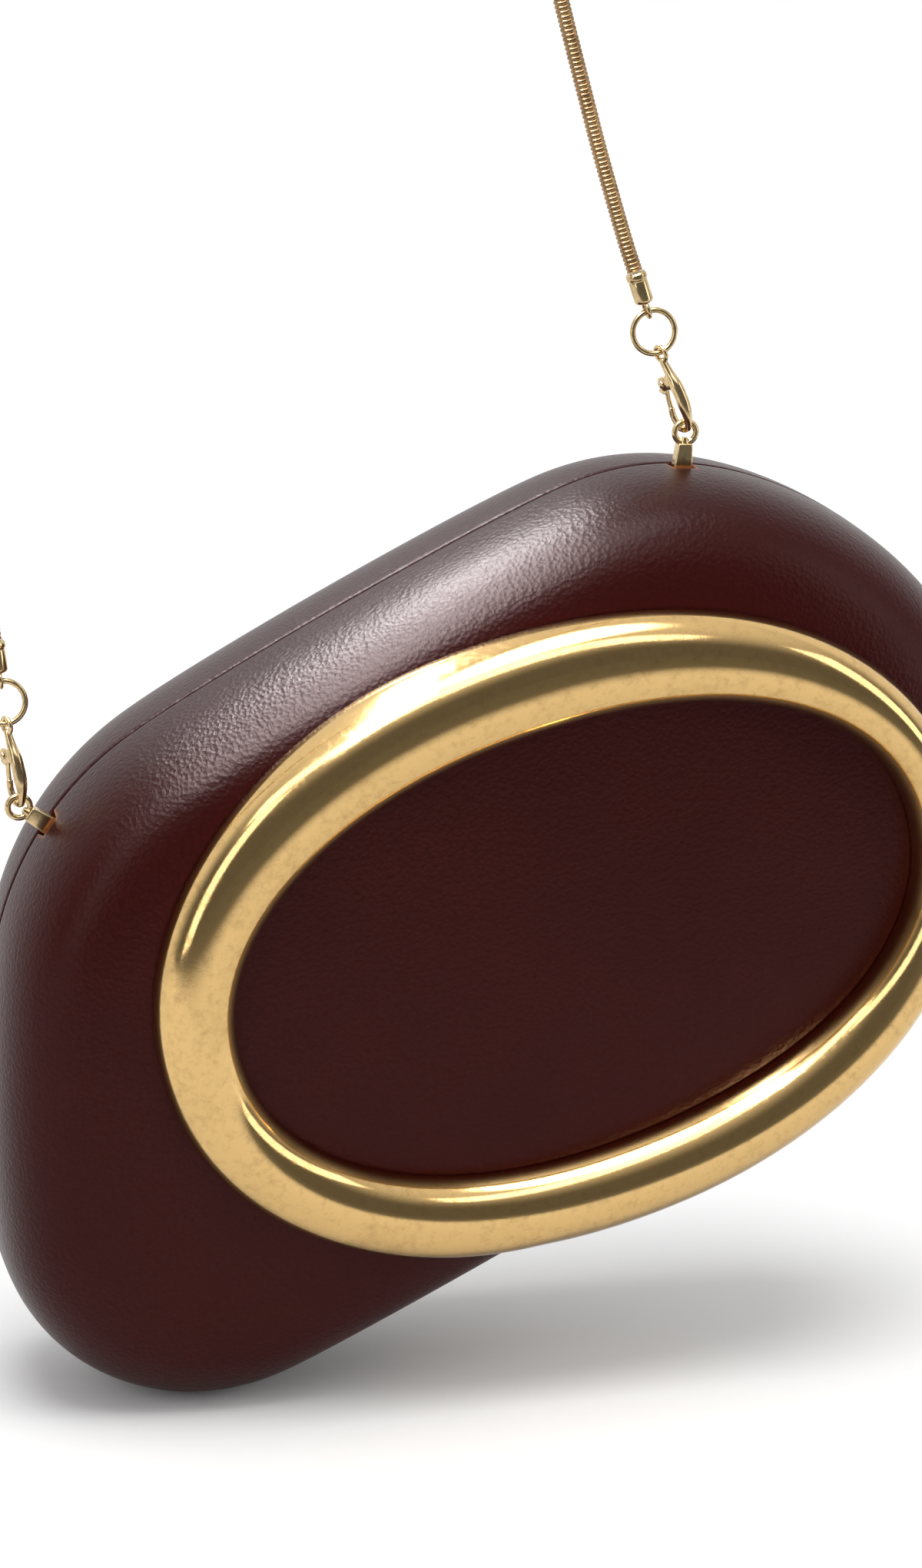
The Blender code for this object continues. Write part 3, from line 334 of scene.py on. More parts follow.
# a share s of the way from the dome's middle to the seam lies at depth D (1 - s^n)^(1/m), with flatness n
# and fullness m, moved in along the surface's normal by inset. Gives (x, depth, z) for each turn and share
def domePoints(turns, share, inset):
    n, m, depth = shell["flatness"], shell["fullness"], shell["depth"]
    points, normal = seamOutline(turns)
    arms = points - shell["centre"]
    share = np.minimum(share, 0.9999999)  # at the seam itself the slope is endless
    power = share ** n
    slope = depth * n / m * share ** (n - 1) * (1 - power) ** (1 / m - 1)
    lean = (arms * normal).sum(axis=-1)
    out = np.stack([slope * normal[..., 0], lean, slope * normal[..., 1]], -1)
    out /= np.linalg.norm(out, axis=-1, keepdims=True)
    flat = np.asarray(shell["centre"]) + share[..., None] * arms
    rise = depth * (1 - power) ** (1 / m)
    surface = np.stack([flat[..., 0], rise, flat[..., 1]], -1)
    return surface - np.asarray(inset)[..., None] * out


# the share at which the dome has a depth: the formula of domePoints, turned round
def domeShare(depth):
    return (1 - np.clip(depth / shell["depth"], 0, 1) ** shell["fullness"]) ** (1 / shell["flatness"])


# depth of the dome over a point of the face: its share is its distance over the outline's on that ray
def domeDepthAt(x, z):
    fine = np.linspace(-math.pi, math.pi, 2881)
    points, _ = seamOutline(fine)
    arms = points - shell["centre"]
    angles = np.unwrap(np.arctan2(arms[:, 1], arms[:, 0]))
    away = np.stack([x, z], -1) - shell["centre"]
    rays = np.arctan2(away[..., 1], away[..., 0])
    limit = np.interp(rays, angles, np.linalg.norm(arms, axis=1), period=2 * math.pi)
    share = np.clip(np.linalg.norm(away, axis=-1) / limit, 0.0, 0.9999)
    return shell["depth"] * (1 - share ** shell["flatness"]) ** (1 / shell["fullness"])


# eye posts on the two shoulders; angle is how far each stands from the bag's top, in degrees
post = {
    "angle": {-1: 28.05, 1: 31.52}, "setBack": 0.0020, "width": 0.0038, "topWidth": 0.0028, "depth": 0.0026,
    "eyeRadius": 0.0021, "eyeWire": 0.0006, "eyeHeight": 0.0064, "clearance": 0.0004,
    "root": 0.0012, "overlap": 0.0001, "bevel": 0.00045, "neckSink": 0.0003,
    "neck": [(0, 0.0010), (0.0004, 0.0009), (0.0009, 0.0007), (0.0013, 0.0006)],
}
postTurns = [math.radians(90 - side * post["angle"][side]) for side in (-1, 1)]

# the notch in the front leather round each post: half its width, its floor and how softly its sides are
# drawn; its raw edge is painted no deeper than reach and no further under the post's foot than below
notch = {
    "half": post["width"] / 2 + post["clearance"],
    "floor": post["setBack"] + post["depth"] / 2 + post["clearance"],
    "margin": 0.0003, "slope": 0.00035, "fade": 0.0003, "reach": 0.006, "below": 0.004,
}


# depth of the leather's edge: the seam gap, and the notch's floor within half a notch of a post's foot. The
# change from one to the other is the smooth step t t (3 - 2 t) over slope
def notchDepth(turns):
    points, _ = seamOutline(turns)
    edge = np.full(turns.shape, shell["seamGap"])
    for turn in postTurns:
        foot, _ = seamOutline(np.array([turn]))
        away = np.linalg.norm(points - foot[0], axis=-1)
        t = np.clip((notch["half"] + notch["margin"] - away) / notch["slope"], 0, 1)
        edge = edge + (t * t * (3 - 2 * t)) * (notch["floor"] - shell["seamGap"])
    return edge


# leather of a shell, from the face's middle to the rim, round its folded edge and back along the inside:
# a row at angle a lies at depth D sin a of the dome, and the fold is half a circle from outside to inside
def leatherShell(side, word):
    turns = evenTurns(460, postTurns if side < 0 else ())
    edge = notchDepth(turns) if side < 0 else np.full(turns.shape, shell["seamGap"])
    rim = edge + shell["edgeRound"]
    first = np.arcsin(rim / shell["depth"])
    last = math.radians(shell["faceAngle"])

    def row(share, inset):
        return domePoints(turns, share, np.full(turns.shape, inset))

    def climb(step):
        return domeShare(shell["depth"] * np.sin(first + (last - first) * step))

    rows = [row(climb(step), 0.0) for step in 1 - (1 - np.linspace(0, 1, 46)) ** 1.15]
    face = domeShare(shell["depth"] * math.sin(last))
    rows += [row(np.full(turns.shape, face * step), 0.0) for step in np.linspace(1, 0, 16)[1:]]
    rows = rows[::-1]
    outside = row(domeShare(rim), 0.0)
    inside = row(domeShare(rim), shell["leather"])
    for angle in np.linspace(0, math.pi, 9)[1:]:
        blend = (1 - math.cos(angle)) / 2
        fold = outside * (1 - blend) + inside * blend
        fold[:, 1] = rim - shell["edgeRound"] * math.sin(angle)
        rows.append(fold)
    rows += [row(climb(step), shell["leather"]) for step in np.linspace(0, 1, 10)[1:]]
    rows.append(row(np.full(turns.shape, 0.0), shell["leather"]))
    rows = np.array(rows)
    rows[..., 1] *= side
    piece = gridObject(
        word + "LeatherShell", placed(rows, bagPlace), "bag_" + word, leather, poles=(True, True), sharp=60
    )
    paintCutEdge(piece, side)
    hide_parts(word + "_leather")


# cutEdge is 1 within margin of a notch's sides and floor, and falls straight to 0 over fade
def paintCutEdge(piece, side):
    count = len(piece.data.vertices)
    flat = np.empty(count * 3)
    piece.data.vertices.foreach_get("co", flat)
    local = placed(flat.reshape(-1, 3), bagPlace.inverted())
    value = np.zeros(count)
    for turn in postTurns if side < 0 else ():
        foot, normal = seamOutline(np.array([turn]))
        along = np.array([-normal[0][1], normal[0][0]])
        away = local[:, [0, 2]] - foot[0]
        deep = -local[:, 1]
        aside = np.maximum(np.abs(away @ along) - notch["half"], 0)
        beyond = np.hypot(aside, np.maximum(deep - notch["floor"], 0))
        near = (deep < notch["reach"]) * (away @ normal[0] > -notch["below"])
        value = np.maximum(value, np.clip(1 - (beyond - notch["margin"]) / notch["fade"], 0, 1) * near)
    layer = piece.data.attributes.new("cutEdge", "FLOAT", "POINT")
    layer.data.foreach_set("value", value.astype(np.float32))


# suede tray of a shell: the dome moved in by leather, core and gaps, down to the rim frame and back
def liningShell(side, word):
    turns = evenTurns(220)
    rim = shell["seamGap"] + shell["frameDepth"] + 2 * shell["seamGap"]
    inset = shell["leather"] + shell["core"] + 2 * shell["seamGap"]
    start = math.asin(rim / shell["depth"])
    rows = []
    for depth, order in ((inset, -1), (inset + shell["lining"], 1)):
        layer = [domePoints(turns, np.full(turns.shape, 0.0), np.full(turns.shape, depth))]
        for angle in np.linspace(math.radians(shell["liningAngle"]), start, 24):
            share = domeShare(shell["depth"] * math.sin(angle))
            layer.append(domePoints(turns, np.full(turns.shape, share), np.full(turns.shape, depth)))
        rows += layer if order < 0 else layer[::-1]
    rows = np.array(rows)
    rows[..., 1] *= side
    piece = gridObject(
        word + "LiningTray", placed(rows, bagPlace), "bag_" + word, suede, poles=(True, True), sharp=50
    )
    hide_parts(word + "_lining")


# rim frame of a shell: a rectangle with rounded corners, from inset near to far and depth low to high,
# carried along the outline
def rimFrame(side, word):
    turns = evenTurns(300)
    near = shell["leather"] + shell["seamGap"]
    far = near + shell["frameWidth"]
    low = shell["seamGap"]
    high = low + shell["frameDepth"]
    bevel = shell["frameBevel"]
    rows = []
    for x, y, first in ((near + bevel, low + bevel, 180), (far - bevel, low + bevel, 270),
                        (far - bevel, high - bevel, 0), (near + bevel, high - bevel, 90)):
        for k in range(4):
            angle = math.radians(first + 30 * k)
            points, _ = seamOutline(turns, np.full(turns.shape, x + bevel * math.cos(angle)))
            depth = np.full(len(turns), side * (y + bevel * math.sin(angle)))
            rows.append(np.stack([points[:, 0], depth, points[:, 1]], -1))
    rows = placed(np.array(rows), bagPlace)
    piece = gridObject(word + "RimFrame", rows, "bag_" + word, fittingGold, loopClosed=True, sharp=35)
    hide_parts(word + "_frame")


for makePair in (leatherShell, liningShell, rimFrame):
    for side, word in shellSides:
        makePair(side, word)
print("shells made")

# closed ring of bent tube on the front, a little squarer than an ellipse: its centreline, its turn, how far
# it stands out of the face, and the width of its tube at its four sides
ring = {
    "centre": (0.0063, 0.0041), "half": (0.0748, 0.0521), "squareness": 2.10, "turn": -10.6,
    "standsOut": 0.0080, "skirt": 0.0040, "wall": 0.0016, "undercut": math.radians(8),
    "left": 0.0152, "right": 0.0115, "top": 0.0190, "bottom": 0.0171, "section": (0.0075, 0.0085),
}


# the centreline is the superellipse (a cos^(2/e), b sin^(2/e)), turned; across it lies a round tube, open
# along its back, that rises from its feet on the face to its crest
def ringSurface(angles, section, wall):
    power = 2 / ring["squareness"]
    c, s = np.cos(angles), np.sin(angles)
    line = np.stack([ring["half"][0] * np.sign(c) * np.abs(c) ** power,
                     ring["half"][1] * np.sign(s) * np.abs(s) ** power], -1)
    normal = np.stack([np.sign(c) * np.abs(c) ** (2 - power) / ring["half"][0],
                       np.sign(s) * np.abs(s) ** (2 - power) / ring["half"][1]], -1)
    normal /= np.linalg.norm(normal, axis=-1, keepdims=True)
    turn = math.radians(ring["turn"])
    spin = np.array([[math.cos(turn), math.sin(turn)], [-math.sin(turn), math.cos(turn)]])
    line = line @ spin + ring["centre"]
    normal = normal @ spin
    ends = np.where(c > 0, ring["right"], ring["left"]) / 2
    sides = np.where(s > 0, ring["top"], ring["bottom"]) / 2
    half = ends * c ** 2 + sides * s ** 2 - wall
    under = math.sin(ring["undercut"])
    rise = (np.sin(section) + under) / (1 + under)
    place = line[None] + normal[None] * (half[None] * np.cos(section)[:, None])[..., None]
    face = domeDepthAt(place[..., 0], place[..., 1]) + shell["seamGap"]
    foot = np.maximum(face, shell["depth"] - ring["skirt"])
    crest = shell["depth"] + ring["standsOut"] - wall
    depth = foot + (crest - foot) * rise[:, None]
    return np.stack([place[..., 0], -depth, place[..., 1]], -1)


# section angles whose points lie evenly round the tube, from foot to foot
def evenSection(count):
    fine = np.linspace(-ring["undercut"], math.pi + ring["undercut"], 2001)
    x = ring["section"][0] * np.cos(fine)
    y = ring["section"][1] * np.sin(fine)
    run = np.concatenate([[0.0], np.cumsum(np.hypot(np.diff(x), np.diff(y)))])
    return np.interp(np.linspace(0, run[-1], count), run, fine)


# the ring's outer skin and, a wall further in, its inner one
def ovalRing():
    fine = np.linspace(0, 2 * math.pi, 3601)
    line = ringSurface(fine, np.array([math.pi / 2]), 0.0)[0]
    run = np.concatenate([[0.0], np.cumsum(np.linalg.norm(np.diff(line, axis=0), axis=1))])
    angles = np.interp(np.arange(320) / 320 * run[-1], run, fine)
    outer = ringSurface(angles, evenSection(45), 0.0)
    inner = ringSurface(angles, evenSection(15), ring["wall"])[::-1]
    rows = placed(np.concatenate([outer, inner]), bagPlace)
    piece = gridObject("ovalRingPolished", rows, "bag_front", ringGold, loopClosed=True, sharp=60)
    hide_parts("oval_ring")


ovalRing()
print("ring made")


# Catmull-Rom curve, with the radii carried along it, at even steps: from b to c, between a and d, it is half
# of 2 b + (c - a) t + (2 a - 5 b + 4 c - d) t^2 + (3 b - a - 3 c + d) t^3
def smoothLine(points, radii, count):
    full = np.column_stack([np.asarray(points, float), np.asarray(radii, float)])
    full = np.vstack([2 * full[0] - full[1], full, 2 * full[-1] - full[-2]])
    t = np.linspace(0, 1, 16, endpoint=False)[:, None]
    parts = []
    for k in range(1, len(full) - 2):
        a, b, c, d = full[k - 1:k + 3]
        parts.append(0.5 * (2 * b + (c - a) * t + (2 * a - 5 * b + 4 * c - d) * t ** 2
                            + (3 * b - a - 3 * c + d) * t ** 3))
    line = np.vstack(parts + [full[-2:-1]])
    run = np.concatenate([[0.0], np.cumsum(np.linalg.norm(np.diff(line[:, :3], axis=0), axis=1))])
    marks = np.linspace(0, run[-1], count)
    return np.column_stack([np.interp(marks, run, line[:, k]) for k in range(4)]), run[-1]


# ellipse section carried along a line: a point is line + r (flatten cos a side + sin a up), where side is
# across made square to the line and up = line x side. A round end lets r follow a circle to nothing
def sweptRows(line, radii, across, sides, flatten=1.0, closed=False, roundEnds=False, endRows=5):
    line = np.asarray(line, float)
    radii = np.asarray(radii, float)
    if closed:
        tangent = np.roll(line, -1, axis=0) - np.roll(line, 1, axis=0)
    else:
        tangent = np.gradient(line, axis=0)
    tangent /= np.linalg.norm(tangent, axis=1, keepdims=True)
    if roundEnds:
        angles = np.linspace(0, math.pi / 2, endRows + 1)[:-1]
        start = line[0] - tangent[0] * radii[0] * flatten
        first = [start + tangent[0] * radii[0] * flatten * (1 - math.cos(a)) for a in angles]
        last = [line[-1] + tangent[-1] * radii[-1] * flatten * math.cos(a) for a in angles]
        line = np.vstack([first, line, last[::-1]])
        radii = np.concatenate([[radii[0] * math.sin(a) for a in angles], radii,
                                [radii[-1] * math.sin(a) for a in angles[::-1]]])
        tangent = np.vstack([np.repeat(tangent[:1], endRows, 0), tangent,
                             np.repeat(tangent[-1:], endRows, 0)])
    side = across - (tangent @ across)[:, None] * tangent
    side /= np.linalg.norm(side, axis=1, keepdims=True)
    up = np.cross(tangent, side)
    angle = np.arange(sides) / sides * 2 * math.pi
    wide, high = flatten * np.cos(angle), np.sin(angle)
    circle = side[:, None] * wide[None, :, None] + up[:, None] * high[None, :, None]
    return line[:, None] + circle * radii[:, None, None]


# a wire swept along the circle centre + radius (cos a first + sin a second)
def torusRows(centre, radius, wire, first, second, steps=64, sides=20):
    turn = np.arange(steps) / steps * 2 * math.pi
    first, second = np.asarray(first, float), np.asarray(second, float)
    arms = np.cos(turn)[:, None] * first + np.sin(turn)[:, None] * second
    line = np.asarray(centre, float) + radius * arms
    return sweptRows(line, np.full(steps, wire), np.cross(first, second), sides, closed=True)


pinpoint = 0.00001  # radius of a turned profile at its poles


# a profile of (distance along, radius), turned round the axis from start
def turnedRows(profile, start, along, sides=40):
    along = np.asarray(along, float) / np.linalg.norm(along)
    helper = np.array([0.0, 0.0, 1.0]) if abs(along[2]) < 0.9 else np.array([1.0, 0.0, 0.0])
    side = np.cross(along, helper)
    side /= np.linalg.norm(side)
    up = np.cross(along, side)
    angle = np.arange(sides) / sides * 2 * math.pi
    circle = side * np.cos(angle)[:, None] + up * np.sin(angle)[:, None]
    profile = np.asarray(profile, float)
    middle = np.asarray(start, float) + profile[:, None, :1] * along
    return middle + profile[:, 1][:, None, None] * circle[None]


# foot, outward direction and eye centre of a post, in the bag's frame
def postPlace(side):
    foot, normal = seamOutline(np.array([math.radians(90 - side * post["angle"][side])]))
    out = np.array([normal[0][0], 0.0, normal[0][1]])
    base = np.array([foot[0][0], -post["setBack"], foot[0][1]])
    return base, out, base + out * post["eyeHeight"]


# a post is a tapered stem with rounded edges, a wire eye, and a turned neck between them
def eyePost(side, word):
    base, out, centre = postPlace(side)
    along = np.array([out[2], 0.0, -out[0]])
    foot = base - out * post["root"]
    top = base + out * (post["eyeHeight"] - post["eyeRadius"] + post["overlap"])
    corners = []
    for place, width in ((foot, post["width"]), (top, post["topWidth"])):
        for a, b in ((-1, -1), (1, -1), (1, 1), (-1, 1)):
            corners.append(place + along * (a * width / 2) + np.array([0, b * post["depth"] / 2, 0]))
    mesh = bpy.data.meshes.new(word + "Stem")
    faces = [(0, 3, 2, 1), (4, 5, 6, 7), (0, 1, 5, 4), (1, 2, 6, 5), (2, 3, 7, 6), (3, 0, 4, 7)]
    mesh.from_pydata(placed(corners, bagPlace).tolist(), [], faces)
    work = bmesh.new()
    work.from_mesh(mesh)
    edges = list(work.edges)
    bmesh.ops.bevel(work, geom=edges, offset=post["bevel"], segments=4, profile=0.6, affect="EDGES")
    work.to_mesh(mesh)
    work.free()
    stem = finished(word + "PostStem", mesh, "bag_front", fittingGold)
    rows = torusRows(centre, post["eyeRadius"], post["eyeWire"], along, out)
    eye = gridObject(word + "PostEye", placed(rows, bagPlace), "bag_front", fittingGold, loopClosed=True)
    rows = turnedRows(post["neck"], top - out * post["neckSink"], out, 24)
    neck = gridObject(word + "PostNeck", placed(rows, bagPlace), "bag_front", fittingGold)
    piece = joined(word + "EyePost", [stem, eye, neck])
    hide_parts(word + "_post")


for side, word in ((-1, "left"), (1, "right")):
    eyePost(side, word)
print("posts made")

# clasps, jump rings and end caps, from the eye up. pull and twist are the degrees that each hangs and turns
# by; the hook runs from its tip, at the mouth, round its bend and up hookLine, in halves and heights
clasp = {
    "pull": {"left": 6.5, "right": 18.5}, "twist": 24.0,
    "wire": 0.00062, "back": 0.0012, "neck": 0.0007, "seat": 0.0003, "bend": 1.18, "half": 0.0021,
    "mouth": 0.0026, "height": 0.0123, "bendAngles": (50, 25, 0, -25, -50),
    "hookLine": [(-1, 0.1), (-1.04, 0.27), (-0.95, 0.44), (-0.72, 0.62), (-0.35, 0.8), (0.0, 1)],
    "pivotHeight": 0.0080, "pivotSide": 0.0011, "trigger": 0.0006, "thumb": 0.0015,
    "lug": 0.0010, "lugThickness": 0.0008, "rivet": 0.0004,
    "cheek": 0.0014, "cheekGap": 0.00015, "cheekThickness": 0.0006, "cheekEase": (0.0001, 0.00018),
    "eye": 0.00145, "eyeWire": 0.00045, "slack": 0.00012,
    "jump": 0.0041, "jumpWire": 0.00055, "jumpTurns": (36.6, 395.4), "cap": 0.0018, "capLength": 0.0062,
}

# the chain: one plate at every pitch, its groove and its bulge as shares of the radius, and the route
# (x, z) that it hangs in, from right to left
strap = {
    "radius": 0.00165, "pitch": 0.00086, "gap": 0.0003, "step": 0.0078, "sides": 14, "plateRows": 8,
    "groove": 0.15, "grooveWidth": 0.22, "swell": 0.03, "square": 0.05,
    "route": [
        (0.0649, -0.0900), (0.0617, -0.0784), (0.0585, -0.0666), (0.0553, -0.0547), (0.0518, -0.0428),
        (0.0483, -0.0312), (0.0421, -0.0208), (0.0337, -0.0120), (0.0235, -0.0054), (0.0121, -0.0013),
        (0.0000, 0.0000), (-0.0128, -0.0017), (-0.0247, -0.0066), (-0.0351, -0.0144), (-0.0432, -0.0245),
        (-0.0487, -0.0362), (-0.0513, -0.0489), (-0.0525, -0.0619), (-0.0533, -0.0748), (-0.0538, -0.0877),
        (-0.0541, -0.1007), (-0.0542, -0.1136), (-0.0541, -0.1265), (-0.0537, -0.1395), (-0.0530, -0.1524),
    ],
}


# place of the contact between hook and eye wire, turned along the pull
def strapEnd(side, word):
    pull = clasp["pull"][word]
    aside = math.radians(hanging["tilt"] - pull)
    _, _, centre = postPlace(side)
    contact = centre + np.array([math.sin(aside), 0, math.cos(aside)]) * post["eyeRadius"]
    where = bagPlace @ Vector(contact)
    return Matrix.Translation(where) @ Matrix.Rotation(-math.radians(pull), 4, "Y")


# heights above the contact: the jump ring's centre, the cap's eye, the cap's start and its end
def linkHeights():
    slack = clasp["eye"] - clasp["eyeWire"] - clasp["jumpWire"] - clasp["slack"]
    jump = clasp["height"] + clasp["eye"] + slack + clasp["jump"]
    capEye = jump + clasp["jump"] + slack
    capStart = capEye + clasp["eye"] - clasp["eyeWire"] / 2
    return jump, capEye, capStart, capStart + clasp["capLength"]


# the hook: wire swept from its tip under the eye and up the swelling back to the neck, two turned cheeks on
# flat arms, and the eye for the jump ring
def hookBody(word, place):
    seat = post["eyeWire"] + clasp["seat"] + clasp["wire"]
    half, rise = clasp["half"], clasp["height"]
    points = [(half, clasp["mouth"]), (half * 1.02, 0.4 * clasp["mouth"])]
    for turn in clasp["bendAngles"]:
        angle = math.radians(turn)
        points.append((seat * clasp["bend"] * math.sin(angle), -seat * math.cos(angle)))
    points += [(half * y, rise * z) for y, z in clasp["hookLine"]]
    middle = (clasp["wire"] + clasp["back"]) / 2
    radii = [clasp["wire"]] * 7 + [middle] + [clasp["back"]] * 3 + [middle, clasp["neck"]]
    line, _ = smoothLine([(0, y, z) for y, z in points], radii, 90)
    body = sweptRows(line[:, :3], line[:, 3], np.array([1.0, 0, 0]), 24, roundEnds=True)
    parts = [gridObject(word + "Hook", placed(body, place), "strap", fittingGold)]
    inner = clasp["lugThickness"] / 2 + clasp["cheekGap"]
    outer = inner + clasp["cheekThickness"]
    cheek, (innerEase, outerEase) = clasp["cheek"], clasp["cheekEase"]
    height, pivot = clasp["pivotHeight"], clasp["pivotSide"]
    for hand in (-1, 1):
        profile = [(hand * inner, pinpoint), (hand * inner, cheek * 0.96),
                   (hand * (inner + innerEase), cheek), (hand * (outer - outerEase), cheek),
                   (hand * outer, cheek * 0.84), (hand * outer, pinpoint)]
        disc = placed(turnedRows(profile, (0, pivot, height), (1, 0, 0), 32), place)
        parts.append(gridObject(word + "Cheek", disc, "strap", fittingGold, poles=(True, True)))
        between = hand * (inner + outer) / 2
        flat = [(between, -pivot, height), (between, 0.0, height), (between, pivot * 0.6, height)]
        arm = sweptRows(flat, [cheek * 0.85] * 3, np.array([1.0, 0, 0]), 24,
                        flatten=(outer - inner) / 2 / (cheek * 0.85))
        parts.append(gridObject(word + "Arm", placed(arm, place), "strap", fittingGold))
    centre = (0, 0, clasp["height"] + clasp["eye"])
    eye = torusRows(centre, clasp["eye"], clasp["eyeWire"], (0, 1, 0), (0, 0, 1), 48, 16)
    parts.append(gridObject(word + "LinkEye", placed(eye, place), "strap", fittingGold, loopClosed=True))
    piece = joined(word + "ClaspBody", parts)
    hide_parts(word + "_claw")
    return piece


# curved lever swept from the rivet to the hook's tip, with its thumb nub and its turned lug
def triggerLever(word, place):
    end = clasp["mouth"] + shell["seamGap"] - clasp["pivotHeight"]
    side = clasp["half"] - clasp["pivotSide"]
    centre = np.array([0, clasp["pivotSide"], clasp["pivotHeight"]])
    across = np.array([1.0, 0, 0])
    arm = [(0, 0, 0), (0, 0.55 * side, 0.3 * end), (0, 0.9 * side, 0.6 * end), (0, side, 0.85 * end),
           (0, side, end)]
    line, _ = smoothLine(arm, clasp["trigger"] * np.array([0.6, 0.9, 1.0, 1.0, 1.0]), 36)
    rows = sweptRows(line[:, :3] + centre, line[:, 3], across, 20, flatten=0.66)
    body = word + "_trigger_lever"
    parts = [gridObject(word + "Lever", placed(rows, place), body, fittingGold)]
    thick, lug = clasp["lugThickness"] / 2, clasp["lug"]
    profile = [(-thick, pinpoint), (-thick, lug * 0.9), (-thick * 0.8, lug),
               (thick * 0.8, lug), (thick, lug * 0.9), (thick, pinpoint)]
    rows = turnedRows(profile, centre, (1, 0, 0), 32)
    parts.append(gridObject(word + "Lug", placed(rows, place), body, fittingGold, poles=(True, True)))
    thumb = [(0, 0.7 * side, 0.4 * end), (0, side + 0.6 * clasp["thumb"], 0.33 * end),
             (0, side + clasp["thumb"], 0.3 * end)]
    line, _ = smoothLine(thumb, clasp["trigger"] * np.array([0.8, 0.8, 0.55]), 16)
    rows = sweptRows(line[:, :3] + centre, line[:, 3], across, 20, roundEnds=True)
    parts.append(gridObject(word + "Thumb", placed(rows, place), body, fittingGold))
    piece = joined(word + "ClaspTrigger", parts)
    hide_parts(word + "_trigger")
    return piece


# pin through cheeks and lug, with a domed head at each end, turned round the trigger's axis
def claspRivet(word, place):
    outer = clasp["lugThickness"] / 2 + clasp["cheekGap"] + clasp["cheekThickness"] + clasp["cheekGap"]
    radius = clasp["rivet"]
    head = radius * 1.8
    dome = [(outer + radius * math.sin(a), head * math.cos(a)) for a in np.linspace(0, math.pi / 2, 6)[:-1]]
    half = [(0.0, radius), (outer, radius)] + dome + [(outer + radius, pinpoint)]
    profile = [(-x, r) for x, r in half[:0:-1]] + half
    rows = turnedRows(profile, (0, clasp["pivotSide"], clasp["pivotHeight"]), (1, 0, 0), 24)
    piece = gridObject(word + "ClaspRivet", placed(rows, place), "strap", fittingGold, poles=(True, True))
    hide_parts(word + "_rivet")
    return piece


# wire ring with the hairline cut where it was closed
def jumpRing(word, place):
    jump = linkHeights()[0]
    steps = 97
    turn = np.linspace(*map(math.radians, clasp["jumpTurns"]), steps)
    line = np.stack([clasp["jump"] * np.cos(turn), np.zeros(steps), jump + clasp["jump"] * np.sin(turn)], -1)
    rows = sweptRows(line, np.full(steps, clasp["jumpWire"]), np.array([0, 1.0, 0]), 20)
    piece = gridObject(word + "JumpRing", placed(rows, place), "strap", fittingGold, sharp=50)
    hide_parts(word + "_jump_ring")
    return piece


# turned cap with a rounded crown, a score round its waist and a bead at its mouth, and its wire eye
def endCap(word, place):
    _, capEye, start, end = linkHeights()
    r, run, bead = clasp["cap"], end - start, clasp["cap"] * 1.12
    crown = [(start + 0.14 * run * (1 - math.cos(a)), r * (0.5 + 0.5 * math.sin(a)))
             for a in np.linspace(0, math.pi / 2, 7)]
    waist = [(start + 0.70 * run, r), (start + 0.72 * run, r * 0.97), (start + 0.74 * run, r)]
    lip = [(start + (0.86 - 0.10 * math.cos(a)) * run, r + (bead - r) * math.sin(a))
           for a in np.linspace(0, math.pi, 9)]
    profile = [(start, pinpoint)] + crown + waist + lip + [(end, r * 0.96), (end, pinpoint)]
    rows = turnedRows(profile, (0, 0, 0), (0, 0, 1), 40)
    body = gridObject(word + "Cap", placed(rows, place), "strap", fittingGold, poles=(True, True), sharp=45)
    loop = torusRows((0, 0, capEye), clasp["eye"], clasp["eyeWire"], (0, 1, 0), (0, 0, 1), 48, 16)
    eye = gridObject(word + "CapEye", placed(loop, place), "strap", fittingGold, loopClosed=True)
    piece = joined(word + "EndCap", [body, eye])
    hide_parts(word + "_end_cap")
    return piece


# the chain: a section a little square, whose radius R (1 - g + w) has at every pitch a groove g, which
# zigzags round the chain, and a bulge w between the grooves, scaled so that it is R where it is widest
def snakeChain(ends):
    right, left = ends
    points = [tuple(p) for p in right] + [(x, 0.0, z) for x, z in strap["route"]] + [tuple(p) for p in left]
    rings, sides = strap["plateRows"], strap["sides"]
    none = np.zeros(len(points))
    _, length = smoothLine(points, none, 401)
    links = round(length / strap["pitch"])
    line, length = smoothLine(points, none, links * rings + 1)
    path, _ = smoothLine(points, none, 90)
    rows = sweptRows(line[:, :3], np.full(len(line), strap["radius"]), np.array([0, 1.0, 0]), sides)
    centre = line[:, None, :3]
    along = np.arange(len(line))[:, None] / rings
    angle = np.arange(sides)[None] / sides * 2 * math.pi
    zigzag = np.abs(((angle * 2 / math.pi) % 2) - 1) * 0.5
    phase = (along + zigzag) % 1.0
    groove = np.clip(1 - np.abs(phase - 0.5) / strap["grooveWidth"], 0, 1) ** 1.5
    swell = strap["swell"] * np.cos(2 * math.pi * phase)
    square = 1.0 - strap["square"] * np.cos(4 * angle)
    scale = (1 - strap["groove"] * groove + swell - strap["swell"]) * square / (1 + strap["square"])
    rows = centre + (rows - centre) * scale[..., None]
    piece = gridObject("snakeChainStrap", rows, "strap", chainGold, sharp=80)
    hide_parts("strap_chain")
    return piece, path[:, :3], length


onStrap = []
chainEnds = []
for side, word in ((1, "right"), (-1, "left")):
    end = strapEnd(side, word)
    turned = end @ Matrix.Rotation(math.radians(clasp["twist"]), 4, "Z")
    onStrap += [hookBody(word, turned), triggerLever(word, turned), claspRivet(word, turned)]
    onStrap += [jumpRing(word, end), endCap(word, end)]
    top = linkHeights()[3]
    pair = [np.array(end @ Vector((0, 0, top + rise))) for rise in (strap["gap"], strap["step"])]
    chainEnds.append(pair if side > 0 else pair[::-1])
chain, chainPath, chainLength = snakeChain(chainEnds)
print("strap made, chain", round(chainLength, 4))

